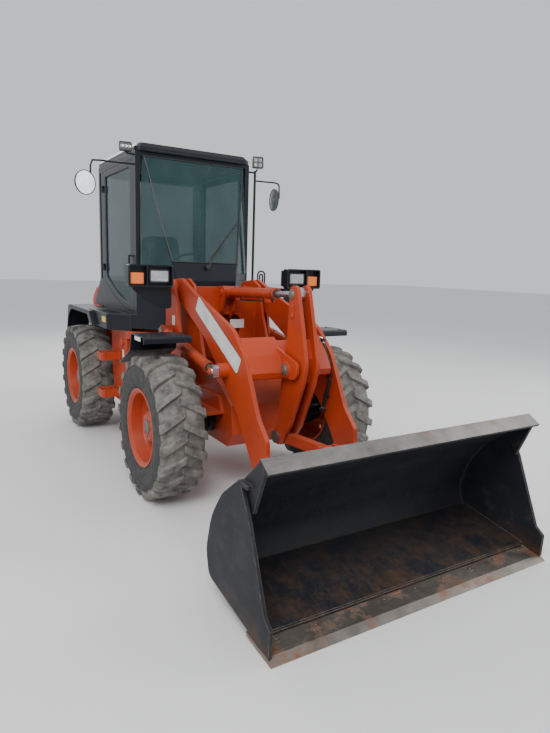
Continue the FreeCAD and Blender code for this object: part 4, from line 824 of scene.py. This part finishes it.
def body_bolts():
    # Bolts as (body, place, size, u, v, height on the place).
    table = []
    for side in (1, -1):
        # Feet of the tower's sides, top of the fender and corners of the lamp bracket.
        tower = plane((side * 505, 0, 0), *out_of(side))
        for y, z in ((-560, 1000), (-560, 1100), (-860, 1000), (-860, 1100)):
            table.append(("front_chassis", tower, 13, side * y, z, 0))
        fender = plane((side * 846, 0, 0), (1, 0, 0), (0, 1, 0))
        for dx in (-150, 150):
            for y in (-1400, -1180):
                table.append(("front_chassis", fender, 9, dx, y, 1440))
        lamp = plane((side * 826, -985, 1930), (1, 0, 0), (0, 0, 1))
        for u, v in ((-198, 90), (198, 90), (-198, -90), (198, -90)):
            table.append(("front_chassis", lamp, 6, u, v, 0))
        # Covers of the side tank, edge of the deck and the counterweight's big bolt.
        tank = plane((side * 740, 0, 0), *out_of(side))
        for y in (336, 514):
            for z in (1028, 942, 608, 522):
                table.append(("chassis", tank, 8, side * y, z, 11))
        deck = plane((side * 950, 0, 0), *out_of(side))
        for y in (1000, 1250, 1500, 1750, 1950):
            table.append(("chassis", deck, 8, side * y, 1452, 0))
        rear = plane((side * 600, 2280, 1000), (-1, 0, 0), (0, 0, 1))
        table.append(("chassis", rear, 16, 0, 0, 18))
    pieces = {}
    for body, place, size, u, v, base in table:
        pieces.setdefault(body, Piece()).bolt(place, size, u, v, base)
    for body, piece in pieces.items():
        piece.done("bolts_" + body, body, "dark_steel")


def grease_and_latches():
    nipples = Piece()
    for side in (1, -1):
        face = plane((side * 424, -2640, 490), (1, 0, 0), (0, 1, 0))
        nipples.turned(face, ((0, 7), (6, 7), (8, 4), (14, 4), (16, 5), (20, 3), (20, 0)), 12)
    nipples.done("grease_nipples", "boom", "edge_steel", "edge_steel")
    # A plate with its handle on each side of the hood, and a clamp round the exhaust pipe.
    latches = Piece()
    for side in (1, -1):
        face = plane((side * 560, 2000, 1380), *out_of(side))
        latches.slab(face, outline(120, 60, 12), 8, 2)
        latches.slab(face, outline(80, 22, 10), 10, 3, 8)
    latches.done("hood_latches", "hood", "black_plastic", "black_plastic")
    clamp = Piece()
    face = plane((-250, 1640, 1900), (1, 0, 0), (0, 1, 0))
    clamp.turned(face, ((0, 42.4), (0, 45), (18, 45), (18, 42.4)), 40)
    clamp.done("exhaust_clamp", "hood", "edge_steel", "edge_steel")


def bucket_trim():
    bolts = Piece()
    # The cutting edge rises 4 mm over its 220 mm.
    slope = 4 / 220.0
    for k in range(9):
        face = plane((-1040 + 260 * k, -3600, 38), (1, 0, 0), (0, 1, slope))
        bolts.turned(face, ((-3, 22), (1.5, 22), (3, 18), (3, 10), (0.5, 8), (0.5, 0)), 24)
    bolts.done("edge_bolts", "bucket", "edge_steel", "edge_steel")
    # A worn strip on the bucket's upper edge.
    lip = Piece()
    face = plane((0, -3554.5, 1024), (1, 0, 0), (0, 0.835, 0.551))
    lip.slab(face, outline(2248, 106, 4, 2), 1.6, 0.6, -0.4)
    lip.done("bucket_lip", "bucket", "lip_steel", "bucket_steel")
    # Weld seams between the bucket's sides and its shell.
    welds = Piece()
    for side in (1, -1):
        route = [(side * 1124, y, z) for y, z in
                 ((-3500, 60), (-3100, 128), (-2985, 175), (-2955, 300), (-2990, 450), (-3030, 545),
                  (-3150, 722), (-3340, 872))]
        welds.tube(rounded_route(route, 40), 9, 6)
    welds.done("bucket_welds", "bucket", "bucket_steel", "bucket_steel")


def tread_strips():
    strips = Piece()
    for side in (1, -1):
        for k in range(9):
            face = plane((side * 800, 320 + k * 60, 1489), (1, 0, 0), (0, 1, 0))
            strips.slab(face, outline(140, 30, 4, 2), 2, 0.8)
    strips.done("deck_grip", "chassis", "grit")


def dress_nodes():
    for part in frame["record"]["subparts"]:
        obj = NODES[part["node"]]
        obj.data.materials.clear()
        obj.data.materials.append(MATS[part["material_slot"]])


def stage():
    mesh = bpy.data.meshes.new("floor")
    reach = 60.0
    corners = [(-reach, -reach, 0), (reach, -reach, 0), (reach, reach, 0), (-reach, reach, 0)]
    mesh.from_pydata(corners, [], [(0, 1, 2, 3)])
    floor = bpy.data.objects.new("floor", mesh)
    bpy.context.scene.collection.objects.link(floor)
    n = Nodes("floor")
    n.link(n.mix(n.noise(1.2, 4), rgba(0.70, 0.70, 0.70), rgba(0.76, 0.76, 0.76)), "Base Color")
    n.link(0.85, "Roughness")
    mesh.materials.append(n.mat)
    world = bpy.data.worlds.new("studio")
    world.use_nodes = True
    world.node_tree.nodes["Background"].inputs["Color"].default_value = rgba(0.90, 0.92, 0.95)
    world.node_tree.nodes["Background"].inputs["Strength"].default_value = 0.85
    bpy.context.scene.world = world
    # Soft lamps as (name, place, aim, size, power).
    for name, place, aim, size, power in (
            ("key", (-5.5, -7.0, 8.5), (0, 0, 1.2), 5.0, 900),
            ("fill", (8.0, -3.0, 5.0), (0, 0, 1.2), 6.0, 330),
            ("back", (1.0, 8.5, 7.5), (0, 0, 1.5), 6.0, 420)):
        light = bpy.data.lights.new(name, "AREA")
        light.size = size
        light.energy = power
        lamp = bpy.data.objects.new(name, light)
        bpy.context.scene.collection.objects.link(lamp)
        lamp.location = place
        lamp.rotation_mode = "QUATERNION"
        lamp.rotation_quaternion = (Vector(aim) - Vector(place)).to_track_quat("-Z", "Y")


make_camera()
dress_nodes()
wheels()
pin_caps()
ram_lines()
hose_fittings()
lamps()
cab_trim()
mirror_glass()
wiper_blade()
seat()
cab_inside()
labels()
body_bolts()
grease_and_latches()
bucket_trim()
tread_strips()
stage()
